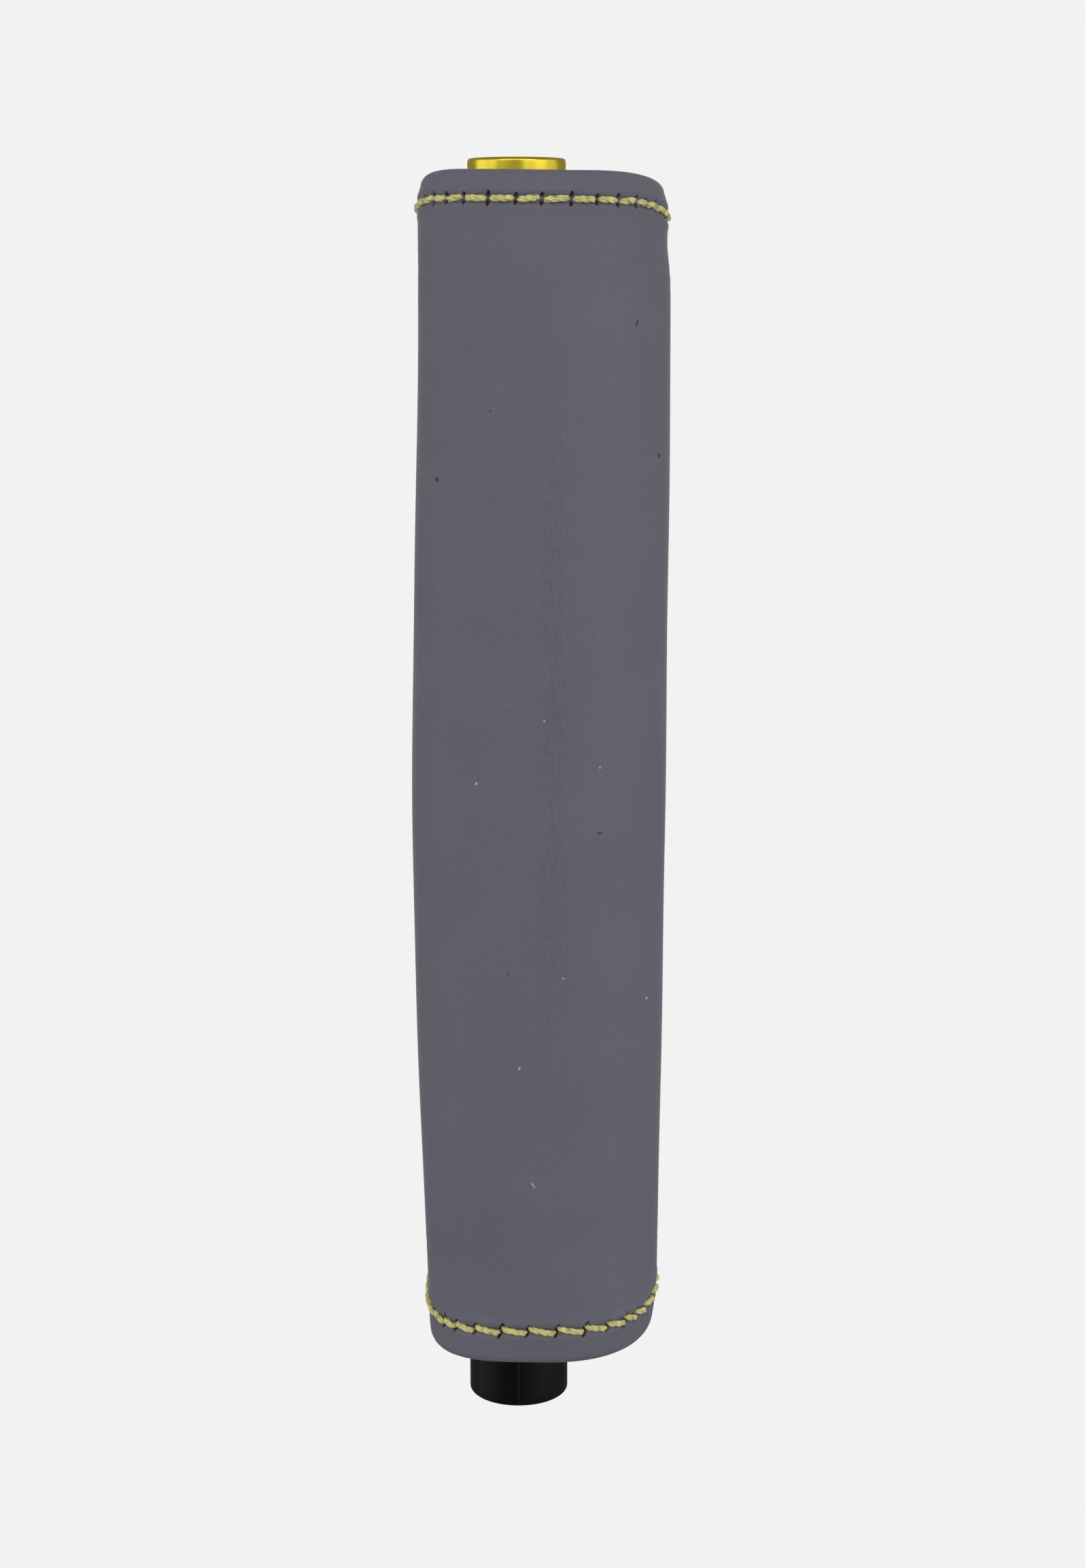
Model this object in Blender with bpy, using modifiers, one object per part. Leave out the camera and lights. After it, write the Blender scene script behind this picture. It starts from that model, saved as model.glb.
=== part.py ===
"""Leather-covered hand grip for a lever, with a push button through its length.

A padded leather sleeve with turned hems sits on a moulded core, and the core slips over
the lever's tube. A long push rod runs through the core and ends in a small metal button.
Units are metres. The rod's axis is the Z axis and the rod's lower end is at the origin.
The section of the grip is wider on +X than on -X, so the rod runs off its centre.
"""

import math

import bmesh
import bpy
import numpy as np

# Driving dimensions
BUTTON_TOP = 0.1700          # height of the whole grip
BUTTON_RADIUS = 0.0065
ROD_RADIUS = 0.0069
PRESS_TRAVEL = 0.0040
RIM_TOP = 0.1681             # upper folded edge of the cover
RIM_BOTTOM = 0.01015         # lower folded edge of the cover
GAP = 0.0003                 # clearance between neighbouring pieces

# Cover section: distances from the rod's axis to the cover's outer sides
LEFT_REACH = 0.01275
LEFT_BULGE = 0.00136
LEFT_TAPER = 0.0002          # how far the left side draws in at the bottom rim
RIGHT_REACH = 0.0201
RIGHT_TAPER = 0.00075
RIGHT_NECK_IN = 0.00075      # how far the right side draws in at the top rim
NECK_FADE = 0.0065
BULGE_HEIGHT = 0.080         # the fullest height, and how far the bulge reaches each way
BULGE_ABOVE = 0.088
BULGE_BELOW = 0.066
TAPER_START = 0.085
TAPER_SPAN = 0.072
TAPER_POWER = 1.2
DEPTH_REACH = 0.0159
DEPTH_BULGE = 0.0008
LEFT_POWER = 3.2             # superellipse powers: squarer on the left, rounder on the right
RIGHT_POWER = 2.3

# Cover and hems
LEATHER = 0.0010
FOLD_RADIUS = 0.00115        # outer radius of the fold at the rim
CURL_TOP = 0.0006            # how far each rim leans inwards
CURL_BOTTOM = 0.0001
CURL_LENGTH = 0.0016
HEM_DEPTH = 0.0080
ROW_TOP = 0.0036             # from each rim to its row of stitches
ROW_BOTTOM = 0.00485
THREAD_RADIUS = 0.00042
STITCH_COUNT = 35
POINTS_PER_STITCH = 3
SAG_TOP = (0.00115, 0.00185)  # how far the stitches dip at the left and right sides
SAG_BOTTOM = (0.0004, 0.0015)
SAG_FADE = 0.0080
RIM_SHARE_TOP = (0.9, 0.55)   # the rim's own dip as a share of that
RIM_SHARE_BOTTOM = (0.5, 0.27)
DEEPEST_SAG = 0.0020
TOP_TILT = 0.00025            # how much lower the upper hem lies at the right than in the middle
SEAM_STITCH_COUNT = 38
SEAM_START = 0.0100          # from each rim to the seam's first stitch
SEAM_HALF_WIDTH = 0.0011

# Core, with the socket for the lever's tube
SOCKET_RADIUS = 0.0084
CORE_RADIUS = 0.0099
GUIDE_RADIUS = ROD_RADIUS + GAP
CORE_BOTTOM = 0.0217
CORE_TOP = 0.1563
SOCKET_END = 0.1050
SHELF_BOTTOM = 0.1450
SHELF_TOP = 0.1480

# End plugs
PLUG_BORE_TOP = BUTTON_RADIUS + 0.0004
PLUG_BODY_INSET = LEATHER + GAP
PLUG_STEP = 0.0005           # from a hem's end to the plug's shoulder
PLUG_RECESS = 0.0019         # from the rim to the plug's outer face
PLUG_LENGTH = 0.0070         # part of the plug that surrounds the core's end

# Button, stud and spring
SKIRT_RADIUS = 0.0056
NECK_RADIUS = 0.0036
NECK_TOP = 0.1590
STUD_RADIUS = 0.0015
STUD_BOTTOM = 0.1520
STUD_TOP = 0.1667
WASHER_THICKNESS = 0.0006
BUSH_RADIUS = 0.0056
BUSH_FLANGE = 0.0008
SPRING_RADIUS = 0.00475
SPRING_WIRE = 0.00045
SPRING_TURNS = 6.5
HEAD_BOTTOM = 0.1650
SEAT_BOTTOM = SHELF_TOP + GAP + BUSH_FLANGE + GAP
SEAT_TOP = SEAT_BOTTOM + WASHER_THICKNESS

# Locking clip
CLIP_BOTTOM = 0.0320
CLIP_TOP = 0.0520
CLIP_WIDTH = 0.0050
CLIP_THICKNESS = 0.0006
CLIP_REACH = 0.0074          # the tooth's tip, from the rod's axis
TOOTH_LENGTH = 0.0040
RIVET_HEIGHT = 0.0480
RIVET_RADIUS = 0.0008

# Rattle ring in its groove round the rod
GROOVE_BOTTOM = 0.1172
GROOVE_TOP = 0.1188
GROOVE_RADIUS = ROD_RADIUS - 0.0013

ROUND_STEPS = 40
SECTION_STEPS = 44


def clear_scene():
    for item in list(bpy.data.objects):
        bpy.data.objects.remove(item, do_unlink=True)


def new_collection(name):
    collection = bpy.data.collections.new(name)
    bpy.context.scene.collection.children.link(collection)
    return collection


def new_material(name, color, roughness, metallic=0.0):
    material = bpy.data.materials.new(name)
    material.use_nodes = True
    shader = material.node_tree.nodes["Principled BSDF"]
    shader.inputs["Base Color"].default_value = (*color, 1.0)
    shader.inputs["Roughness"].default_value = roughness
    shader.inputs["Metallic"].default_value = metallic
    return material


def add_object(name, data, collection, material=None):
    item = bpy.data.objects.new(name, data)
    collection.objects.link(item)
    if material is not None:
        data.materials.append(material)
    return item


def mesh_from(name, vertices, edges, faces):
    mesh = bpy.data.meshes.new(name)
    mesh.from_pydata([tuple(map(float, point)) for point in vertices], edges, faces)
    mesh.update()
    return mesh


def smooth(item, angle=35):
    item.data.shade_smooth()
    item.data.set_sharp_from_angle(angle=math.radians(angle))


# Round pieces

def turned(name, profile, collection, material=None, closed=False, steps=ROUND_STEPS):
    """A profile of (radius, height) points, outer side downwards, swept round the Z axis."""
    points = [(radius, 0.0, height) for radius, height in profile]
    edges = [(index, index + 1) for index in range(len(points) - 1)]
    if closed:
        edges.append((len(points) - 1, 0))
    item = add_object(name, mesh_from(name, points, edges, []), collection, material)
    screw = item.modifiers.new("turn", "SCREW")
    screw.axis = "Z"
    screw.angle = 2 * math.pi
    screw.screw_offset = 0.0
    screw.steps = steps
    screw.render_steps = steps
    screw.use_merge_vertices = True
    screw.merge_threshold = 0.00001
    screw.use_smooth_shade = True
    return item


def ring(name, inner, outer, bottom, top, collection, material=None):
    profile = [(outer, top), (outer, bottom), (inner, bottom), (inner, top)]
    return turned(name, profile, collection, material, closed=True)


def rod(name, radius, bottom, top, collection, material=None):
    profile = [(0, top), (radius, top), (radius, bottom), (0, bottom)]
    return turned(name, profile, collection, material)


def as_cutter(item):
    item.display_type = "WIRE"
    item.hide_render = True
    return item


def combine(item, other, operation):
    modifier = item.modifiers.new(operation.lower(), "BOOLEAN")
    modifier.operation = operation
    modifier.solver = "EXACT"
    modifier.object = other


def box(name, low, high, collection):
    """A box between two opposite corners."""
    mesh = bpy.data.meshes.new(name)
    shape = bmesh.new()
    bmesh.ops.create_cube(shape, size=1.0)
    size = [high[axis] - low[axis] for axis in range(3)]
    centre = [(high[axis] + low[axis]) / 2 for axis in range(3)]
    bmesh.ops.scale(shape, vec=size, verts=shape.verts)
    bmesh.ops.translate(shape, vec=centre, verts=shape.verts)
    shape.to_mesh(mesh)
    shape.free()
    return add_object(name, mesh, collection)


# The grip's outer form

def bulge(height):
    """1 at the fullest height, 0 at both rims: a cosine above and a parabola below."""
    above = math.cos(math.pi / 2 * min((height - BULGE_HEIGHT) / BULGE_ABOVE, 1.0)) ** 2
    below = 1 - min((BULGE_HEIGHT - height) / BULGE_BELOW, 1.0) ** 2
    return above if height > BULGE_HEIGHT else below


def taper(height):
    """0 above the middle of the grip, rising to about 1 at the bottom rim."""
    return (max(TAPER_START - height, 0.0) / TAPER_SPAN) ** TAPER_POWER


def left_reach(height):
    return LEFT_REACH + LEFT_BULGE * bulge(height) - LEFT_TAPER * taper(height)


def right_reach(height):
    neck = RIGHT_NECK_IN * math.exp(-(RIM_TOP - height) / NECK_FADE)
    return RIGHT_REACH - neck - RIGHT_TAPER * taper(height)


def depth_reach(height):
    return DEPTH_REACH + DEPTH_BULGE * bulge(height)


def section(height, inset, count=SECTION_STEPS):
    """Points evenly spaced round the outline at a height, starting in the middle of the front."""
    left = left_reach(height) - inset
    right = right_reach(height) - inset
    depth = depth_reach(height) - inset
    centre = (right - left) / 2
    half_width = (right + left) / 2
    angle = np.linspace(-math.pi / 2, 3 * math.pi / 2, 1441)
    cosine = np.cos(angle)
    sine = np.sin(angle)
    power = np.where(cosine < 0, LEFT_POWER, RIGHT_POWER)
    x = centre + half_width * np.sign(cosine) * np.abs(cosine) ** (2 / power)
    y = depth * np.sign(sine) * np.abs(sine) ** (2 / power)
    length = np.concatenate([[0], np.cumsum(np.hypot(np.diff(x), np.diff(y)))])
    wanted = np.arange(count) / count * length[-1]
    return np.column_stack([np.interp(wanted, length, x), np.interp(wanted, length, y)])


def between(ends, across):
    """A value that runs from the first of two at across = -1 to the second at +1."""
    left, right = ends
    return (left + right) / 2 + (right - left) / 2 * across


def stitch_row(end):
    return ROW_TOP if end > 0 else ROW_BOTTOM


def hem_sag(end, points, height, distance):
    """How far the hem dips at the narrow sides, by the distance from the rim."""
    across = np.clip(points[:, 0] / RIGHT_REACH, -1, 1)
    facing = np.clip(1 - (points[:, 1] / depth_reach(height)) ** 2, 0, 1) ** 3
    deepest = between(SAG_TOP if end > 0 else SAG_BOTTOM, across)
    rim = between(RIM_SHARE_TOP if end > 0 else RIM_SHARE_BOTTOM, across)
    start = rim + (1 - rim) * min(distance / stitch_row(end), 1.0)
    fade = math.exp(-(max(distance - stitch_row(end), 0.0) / SAG_FADE) ** 2)
    tilt = TOP_TILT * across if end > 0 else 0.0
    return (deepest * facing * start + tilt) * fade


def cover_ring(end, distance, inset, count=SECTION_STEPS):
    """One ring of cover points at a distance from the top (+1) or bottom (-1) rim."""
    height = RIM_TOP - distance if end > 0 else RIM_BOTTOM + distance
    points = section(height, inset, count)
    heights = height - end * hem_sag(end, points, height, distance)
    return np.column_stack([points, heights])


def rim_curl(end, distance):
    return (CURL_TOP if end > 0 else CURL_BOTTOM) * math.exp(-(distance / CURL_LENGTH) ** 2)


def loft(name, rings, collection, material=None, caps=True):
    """Faces between successive rings, lowest ring first, each ring counter-clockwise."""
    count = len(rings[0])
    faces = []
    for level in range(len(rings) - 1):
        for index in range(count):
            after = (index + 1) % count
            low = level * count
            high = low + count
            faces.append((low + index, low + after, high + after, high + index))
    if caps:
        faces.append(tuple(reversed(range(count))))
        top = (len(rings) - 1) * count
        faces.append(tuple(range(top, top + count)))
    return add_object(name, mesh_from(name, np.vstack(rings), [], faces), collection, material)


def form(name, inset, heights, collection, material=None):
    """A closed body that follows the grip's outer form at an inset."""
    rings = [np.column_stack([section(z, inset), np.full(SECTION_STEPS, z)]) for z in heights]
    return loft(name, rings, collection, material)


# Soft pieces

def make_leather_cover(collection, material):
    """An open sheet from hem to hem, thickened inwards."""
    def end_profile(end):
        """(distance from the rim, inset) from the hem's inner edge out to the wall."""
        stations = []
        for distance in (HEM_DEPTH, stitch_row(end)):
            stations.append((distance, rim_curl(end, distance) + 2 * FOLD_RADIUS))
        for step in range(5):
            turn = math.pi * step / 4
            inset = rim_curl(end, FOLD_RADIUS) + FOLD_RADIUS * (1 + math.cos(turn))
            stations.append((FOLD_RADIUS * (1 - math.sin(turn)), inset))
        for distance in (2 * FOLD_RADIUS, stitch_row(end), HEM_DEPTH, 2 * HEM_DEPTH):
            stations.append((distance, rim_curl(end, distance)))
        return stations

    rings = [cover_ring(-1, distance, inset) for distance, inset in end_profile(-1)]
    span = RIM_TOP - RIM_BOTTOM
    for step in range(1, 5):
        height = RIM_BOTTOM + span * step / 5
        rings.append(np.column_stack([section(height, 0), np.full(SECTION_STEPS, height)]))
    rings += [cover_ring(1, distance, inset) for distance, inset in reversed(end_profile(1))]
    item = loft("leather_cover", rings, collection, material, caps=False)
    smooth(item)
    shell = item.modifiers.new("thickness", "SOLIDIFY")
    shell.thickness = LEATHER
    shell.offset = -1
    return item


def make_foam_pad(collection, cutters, material, pocket):
    bottom = plug_end(-1) + GAP
    top = plug_end(1) - GAP
    heights = [bottom + (top - bottom) * step / 6 for step in range(7)]
    item = form("foam_pad", PLUG_BODY_INSET, heights, collection, material)
    smooth(item)
    bore = rod("foam_bore", CORE_RADIUS + GAP, bottom - 0.002, top + 0.002, cutters)
    combine(item, as_cutter(bore), "DIFFERENCE")
    combine(item, pocket, "DIFFERENCE")
    return item


def thread_curve(name, points, closed, collection, material):
    """A thread along a chain of points."""
    curve = bpy.data.curves.new(name, "CURVE")
    curve.dimensions = "3D"
    curve.bevel_depth = THREAD_RADIUS
    curve.bevel_resolution = 1
    curve.use_fill_caps = not closed
    spline = curve.splines.new("POLY")
    spline.points.add(len(points) - 1)
    for point, place in zip(spline.points, points):
        point.co = (*map(float, place), 1.0)
    spline.use_cyclic_u = closed
    return add_object(name, curve, collection, material)


def make_hem_thread(name, end, collection, material):
    """The thread of one row of stitches, as a loop just outside the cover."""
    clear = GAP + THREAD_RADIUS
    count = STITCH_COUNT * POINTS_PER_STITCH
    row = stitch_row(end)
    path = cover_ring(end, row, rim_curl(end, row) - clear, count)
    return thread_curve(name, path, True, collection, material)


def make_seam_thread(collection, material):
    """The thread that closes the cover at the back, lacing from side to side up the seam."""
    first = RIM_BOTTOM + SEAM_START
    last = RIM_TOP - SEAM_START
    points = []
    for crossing in range(2 * SEAM_STITCH_COUNT + 1):
        height = first + (last - first) * crossing / (2 * SEAM_STITCH_COUNT)
        outside = depth_reach(height) + GAP + THREAD_RADIUS
        centre = (right_reach(height) - left_reach(height)) / 2
        side = SEAM_HALF_WIDTH if crossing % 2 else -SEAM_HALF_WIDTH
        points.append((centre + side, outside, height))
    return thread_curve("back_seam_thread", points, False, collection, material)


# Core and plugs

def plug_end(end):
    """Height of the plug's inner end face."""
    shoulder = HEM_DEPTH + DEEPEST_SAG + PLUG_STEP
    return RIM_TOP - shoulder - PLUG_LENGTH if end > 0 else RIM_BOTTOM + shoulder + PLUG_LENGTH


def make_grip_core(collection, cutters, material):
    """A tube: lever socket below, rod guide in the middle, spring chamber above a shelf."""
    profile = [
        (CORE_RADIUS, CORE_TOP),
        (CORE_RADIUS, CORE_BOTTOM),
        (SOCKET_RADIUS, CORE_BOTTOM),
        (SOCKET_RADIUS, SOCKET_END),
        (GUIDE_RADIUS, SOCKET_END),
        (GUIDE_RADIUS, SHELF_BOTTOM),
        (BUSH_RADIUS + GAP, SHELF_BOTTOM),
        (BUSH_RADIUS + GAP, SHELF_TOP),
        (GUIDE_RADIUS, SHELF_TOP),
        (GUIDE_RADIUS, CORE_TOP),
    ]
    item = turned("grip_core", profile, collection, material, closed=True)
    half = CLIP_WIDTH / 2 + GAP
    window = box("clip_window", (SOCKET_RADIUS - 0.002, -half, CLIP_BOTTOM - GAP),
                 (CORE_RADIUS + 0.001, half, CLIP_BOTTOM + TOOTH_LENGTH), cutters)
    combine(item, as_cutter(window), "DIFFERENCE")
    hole = rod("rivet_hole", RIVET_RADIUS + GAP, 0, 0.004, cutters)
    hole.rotation_euler = (0, math.pi / 2, 0)
    hole.location = (SOCKET_RADIUS - 0.001, 0, RIVET_HEIGHT)
    combine(item, as_cutter(hole), "DIFFERENCE")
    return item


def make_plug(name, end, bore, collection, cutters, material):
    """An end plug: a block that backs the hem, a shoulder, and a collar round the core's end."""
    rim = RIM_TOP if end > 0 else RIM_BOTTOM
    depth = HEM_DEPTH + DEEPEST_SAG + PLUG_STEP
    face = rim - end * PLUG_RECESS
    shoulder = rim - end * depth
    inner_end = plug_end(end)
    core_seat = (CORE_TOP if end > 0 else CORE_BOTTOM) + end * GAP
    rings = []
    for distance in (PLUG_RECESS, 0.0032, 0.0052, depth):
        curl = rim_curl(end, max(distance - DEEPEST_SAG, FOLD_RADIUS))
        height = rim - end * distance
        points = section(height, curl + 2 * FOLD_RADIUS + GAP)
        rings.append(np.column_stack([points, np.full(SECTION_STEPS, height)]))
    item = loft(name, rings[::-end], collection, material)
    smooth(item)
    low, high = sorted((shoulder, inner_end))
    collar = form(name + "_collar", PLUG_BODY_INSET, [low, (low + high) / 2, high], cutters)
    combine(item, as_cutter(collar), "UNION")
    reach = 0.002
    low, high = sorted((core_seat, inner_end - end * reach))
    seat = rod(name + "_seat", CORE_RADIUS + GAP, low, high, cutters)
    combine(item, as_cutter(seat), "DIFFERENCE")
    low, high = sorted((face + end * reach, inner_end - end * reach))
    hole = rod(name + "_bore", bore, low, high, cutters)
    combine(item, as_cutter(hole), "DIFFERENCE")
    return item


def make_guide_bush(collection, material):
    profile = [
        (GUIDE_RADIUS - GAP, SHELF_TOP + GAP + BUSH_FLANGE),
        (GUIDE_RADIUS - GAP, SHELF_TOP + GAP),
        (BUSH_RADIUS, SHELF_TOP + GAP),
        (BUSH_RADIUS, SHELF_BOTTOM + 0.0001),
        (NECK_RADIUS + GAP, SHELF_BOTTOM + 0.0001),
        (NECK_RADIUS + GAP, SHELF_TOP + GAP + BUSH_FLANGE),
    ]
    return turned("guide_bush", profile, collection, material, closed=True)


def make_lock_clip(collection, material):
    """A flat spring strip against the core, bent in at its lower end into a sloping tooth."""
    inside = CORE_RADIUS + GAP
    outside = inside + CLIP_THICKNESS
    tooth_height = 0.3 * TOOTH_LENGTH
    ramp_height = 0.85 * TOOTH_LENGTH
    outline = [
        (outside, CLIP_BOTTOM),
        (outside, CLIP_TOP),
        (inside, CLIP_TOP),
        (inside, CLIP_BOTTOM + ramp_height),
        (CLIP_REACH, CLIP_BOTTOM + tooth_height),
        (CLIP_REACH, CLIP_BOTTOM),
    ]
    curve = bpy.data.curves.new("lock_clip", "CURVE")
    curve.dimensions = "2D"
    curve.fill_mode = "BOTH"
    curve.extrude = CLIP_WIDTH / 2
    spline = curve.splines.new("POLY")
    spline.points.add(len(outline) - 1)
    for point, (across, height) in zip(spline.points, outline):
        point.co = (across, height, 0, 1)
    spline.use_cyclic_u = True
    item = add_object("lock_clip", curve, collection, material)
    item.rotation_euler = (math.pi / 2, 0, 0)
    return item


def cut_rivet_hole(clip, collection, cutters):
    """The clip made a mesh, so that its rivet hole can be cut."""
    bpy.context.view_layer.update()
    evaluated = clip.evaluated_get(bpy.context.evaluated_depsgraph_get())
    mesh = bpy.data.meshes.new_from_object(evaluated)
    shape = bmesh.new()
    shape.from_mesh(mesh)
    bmesh.ops.remove_doubles(shape, verts=shape.verts, dist=0.000001)
    shape.to_mesh(mesh)
    shape.free()
    place = clip.matrix_world.copy()
    curve = clip.data
    bpy.data.objects.remove(clip, do_unlink=True)
    bpy.data.curves.remove(curve)
    item = add_object("lock_clip", mesh, collection)
    item.matrix_world = place
    hole = rod("clip_hole", RIVET_RADIUS + GAP, 0, 0.003, cutters)
    hole.rotation_euler = (0, math.pi / 2, 0)
    hole.location = (CORE_RADIUS - 0.001, 0, RIVET_HEIGHT)
    combine(item, as_cutter(hole), "DIFFERENCE")
    return item


def make_rivet(collection, material):
    """A domed head outside the clip and a shank into the core's wall, turned along X."""
    head_start = CORE_RADIUS + GAP + CLIP_THICKNESS + GAP
    shank_end = SOCKET_RADIUS + GAP
    head_radius = 0.0018
    head_height = 0.0008
    profile = [
        (0, head_start + head_height),
        (head_radius * 0.6, head_start + head_height * 0.85),
        (head_radius, head_start + head_height * 0.3),
        (head_radius, head_start),
        (RIVET_RADIUS, head_start),
        (RIVET_RADIUS, shank_end),
        (0, shank_end),
    ]
    item = turned("clip_rivet", profile, collection, material, steps=20)
    item.rotation_euler = (0, math.pi / 2, 0)
    item.location = (0, 0, RIVET_HEIGHT)
    return item


# Moving pieces and their spring

def make_push_rod(collection, material):
    """A solid rod with a ring groove, a stop shoulder and a bored neck."""
    shoulder = SHELF_BOTTOM - GAP
    chamfer = 0.0005
    profile = [
        (STUD_RADIUS + GAP, NECK_TOP),
        (NECK_RADIUS, NECK_TOP),
        (NECK_RADIUS, shoulder),
        (ROD_RADIUS - chamfer, shoulder),
        (ROD_RADIUS, shoulder - chamfer),
        (ROD_RADIUS, GROOVE_TOP),
        (GROOVE_RADIUS, GROOVE_TOP),
        (GROOVE_RADIUS, GROOVE_BOTTOM),
        (ROD_RADIUS, GROOVE_BOTTOM),
        (ROD_RADIUS, chamfer),
        (ROD_RADIUS - chamfer, 0),
        (0, 0),
    ]
    hole = [(0, STUD_BOTTOM - GAP), (STUD_RADIUS + GAP, STUD_BOTTOM - GAP)]
    return turned("push_rod", hole + profile, collection, material)


def make_rattle_ring(collection, material):
    """A rubber ring of round section, a gap clear of the groove's floor and sides."""
    thickness = 0.0005
    centre = GROOVE_RADIUS + GAP + thickness
    middle = (GROOVE_BOTTOM + GROOVE_TOP) / 2
    sides = 8
    profile = []
    for step in range(sides):
        turn = math.pi / sides - 2 * math.pi * step / sides
        profile.append((centre + thickness * math.cos(turn), middle + thickness * math.sin(turn)))
    return turned("rattle_ring", profile, collection, material, closed=True)


def make_push_button(collection, material):
    """A turned cap with a skirt round the spring and a bored boss for the stud."""
    skirt_bottom = SEAT_TOP + PRESS_TRAVEL + GAP
    boss_bottom = NECK_TOP + 2 * GAP + WASHER_THICKNESS
    edge = 0.0005
    profile = [(0, BUTTON_TOP), (BUTTON_RADIUS - edge, BUTTON_TOP)]
    for step in range(1, 4):
        turn = math.pi / 2 * step / 3
        across = BUTTON_RADIUS - edge * (1 - math.sin(turn))
        profile.append((across, BUTTON_TOP - edge * (1 - math.cos(turn))))
    profile += [
        (BUTTON_RADIUS, skirt_bottom),
        (SKIRT_RADIUS, skirt_bottom),
        (SKIRT_RADIUS, HEAD_BOTTOM),
        (NECK_RADIUS, HEAD_BOTTOM),
        (NECK_RADIUS, boss_bottom),
        (STUD_RADIUS + GAP, boss_bottom),
        (STUD_RADIUS + GAP, STUD_TOP + GAP),
        (0, STUD_TOP + GAP),
    ]
    return turned("push_button", profile, collection, material)


def make_button_stud(collection, material):
    chamfer = 0.0003
    profile = [
        (0, STUD_TOP),
        (STUD_RADIUS - chamfer, STUD_TOP),
        (STUD_RADIUS, STUD_TOP - chamfer),
        (STUD_RADIUS, STUD_BOTTOM + chamfer),
        (STUD_RADIUS - chamfer, STUD_BOTTOM),
        (0, STUD_BOTTOM),
    ]
    return turned("button_stud", profile, collection, material, steps=20)


def make_return_spring(collection, material):
    """An open coil between the spring seat and the underside of the button's head."""
    bottom = SEAT_TOP + GAP + SPRING_WIRE
    top = HEAD_BOTTOM - GAP - SPRING_WIRE
    per_turn = 12
    count = int(per_turn * SPRING_TURNS) + 1
    curve = bpy.data.curves.new("return_spring", "CURVE")
    curve.dimensions = "3D"
    curve.bevel_depth = SPRING_WIRE
    curve.bevel_resolution = 2
    curve.use_fill_caps = True
    spline = curve.splines.new("POLY")
    spline.points.add(count - 1)
    for index, point in enumerate(spline.points):
        turn = 2 * math.pi * index / per_turn
        height = bottom + (top - bottom) * index / (count - 1)
        point.co = (SPRING_RADIUS * math.cos(turn), SPRING_RADIUS * math.sin(turn), height, 1)
    return add_object("return_spring", curve, collection, material)


def build():
    clear_scene()
    parts = new_collection("lever_grip")
    cutters = new_collection("cutters")
    leather = new_material("leather_grey", (0.133, 0.133, 0.168), 0.62)
    thread = new_material("thread_yellow", (0.50, 0.46, 0.20), 0.70)
    gold = new_material("button_gold", (0.75, 0.60, 0.10), 0.38, 1.0)
    black = new_material("plastic_black", (0.012, 0.011, 0.012), 0.42)
    grey = new_material("plastic_grey", (0.06, 0.06, 0.065), 0.50)
    foam = new_material("foam_dark", (0.05, 0.05, 0.05), 0.90)
    acetal = new_material("acetal_white", (0.75, 0.74, 0.70), 0.40)
    steel = new_material("steel_bright", (0.55, 0.55, 0.57), 0.30, 1.0)
    rubber = new_material("rubber_black", (0.02, 0.02, 0.02), 0.80)

    make_leather_cover(parts, leather)
    make_hem_thread("top_hem_thread", 1, parts, thread)
    make_hem_thread("bottom_hem_thread", -1, parts, thread)
    make_seam_thread(parts, thread)
    half = CLIP_WIDTH / 2 + GAP
    pocket = box("clip_pocket", (CORE_RADIUS - 0.001, -half, CLIP_BOTTOM - GAP),
                 (CORE_RADIUS + 0.0025, half, CLIP_TOP + GAP), cutters)
    make_foam_pad(parts, cutters, foam, as_cutter(pocket))
    make_grip_core(parts, cutters, grey)
    make_plug("top_plug", 1, PLUG_BORE_TOP, parts, cutters, black)
    make_plug("bottom_plug", -1, SOCKET_RADIUS, parts, cutters, black)
    make_guide_bush(parts, acetal)
    ring("spring_seat", NECK_RADIUS + GAP, GUIDE_RADIUS - 2 * GAP, SEAT_BOTTOM, SEAT_TOP,
         parts, steel)
    clip = make_lock_clip(parts, steel)
    cut_rivet_hole(clip, parts, cutters)
    make_rivet(parts, steel)
    make_return_spring(parts, steel)

    plunger = add_object("plunger_axis", None, parts)
    washer_bottom = NECK_TOP + GAP
    moving = [
        make_push_rod(parts, black),
        make_rattle_ring(parts, rubber),
        make_push_button(parts, gold),
        make_button_stud(parts, steel),
        ring("button_washer", STUD_RADIUS + GAP, NECK_RADIUS - GAP, washer_bottom,
             washer_bottom + WASHER_THICKNESS, parts, steel),
    ]
    for item in moving:
        item.parent = plunger


build()
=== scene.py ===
import math

import bpy
import numpy as np
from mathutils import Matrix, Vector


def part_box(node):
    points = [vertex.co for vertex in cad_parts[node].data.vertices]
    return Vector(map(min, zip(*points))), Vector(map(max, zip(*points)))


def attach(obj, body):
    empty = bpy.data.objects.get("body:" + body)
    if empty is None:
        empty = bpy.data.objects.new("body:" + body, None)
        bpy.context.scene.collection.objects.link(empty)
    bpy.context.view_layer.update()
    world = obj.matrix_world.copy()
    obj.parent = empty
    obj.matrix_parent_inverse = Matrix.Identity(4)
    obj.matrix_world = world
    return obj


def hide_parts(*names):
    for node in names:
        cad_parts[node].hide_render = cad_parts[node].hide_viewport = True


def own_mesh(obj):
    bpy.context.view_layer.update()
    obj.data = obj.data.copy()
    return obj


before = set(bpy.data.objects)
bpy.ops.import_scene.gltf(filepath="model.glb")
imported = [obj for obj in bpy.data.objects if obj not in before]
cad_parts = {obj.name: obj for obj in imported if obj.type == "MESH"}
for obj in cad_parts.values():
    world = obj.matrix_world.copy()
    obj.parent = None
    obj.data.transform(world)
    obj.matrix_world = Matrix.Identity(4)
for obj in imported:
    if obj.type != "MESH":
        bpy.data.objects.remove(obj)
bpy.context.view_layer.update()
mm = 0.001  # every length below is in millimetres until it reaches a mesh
gap = 0.3  # clearance between neighbouring pieces, the same as in the frame
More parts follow.
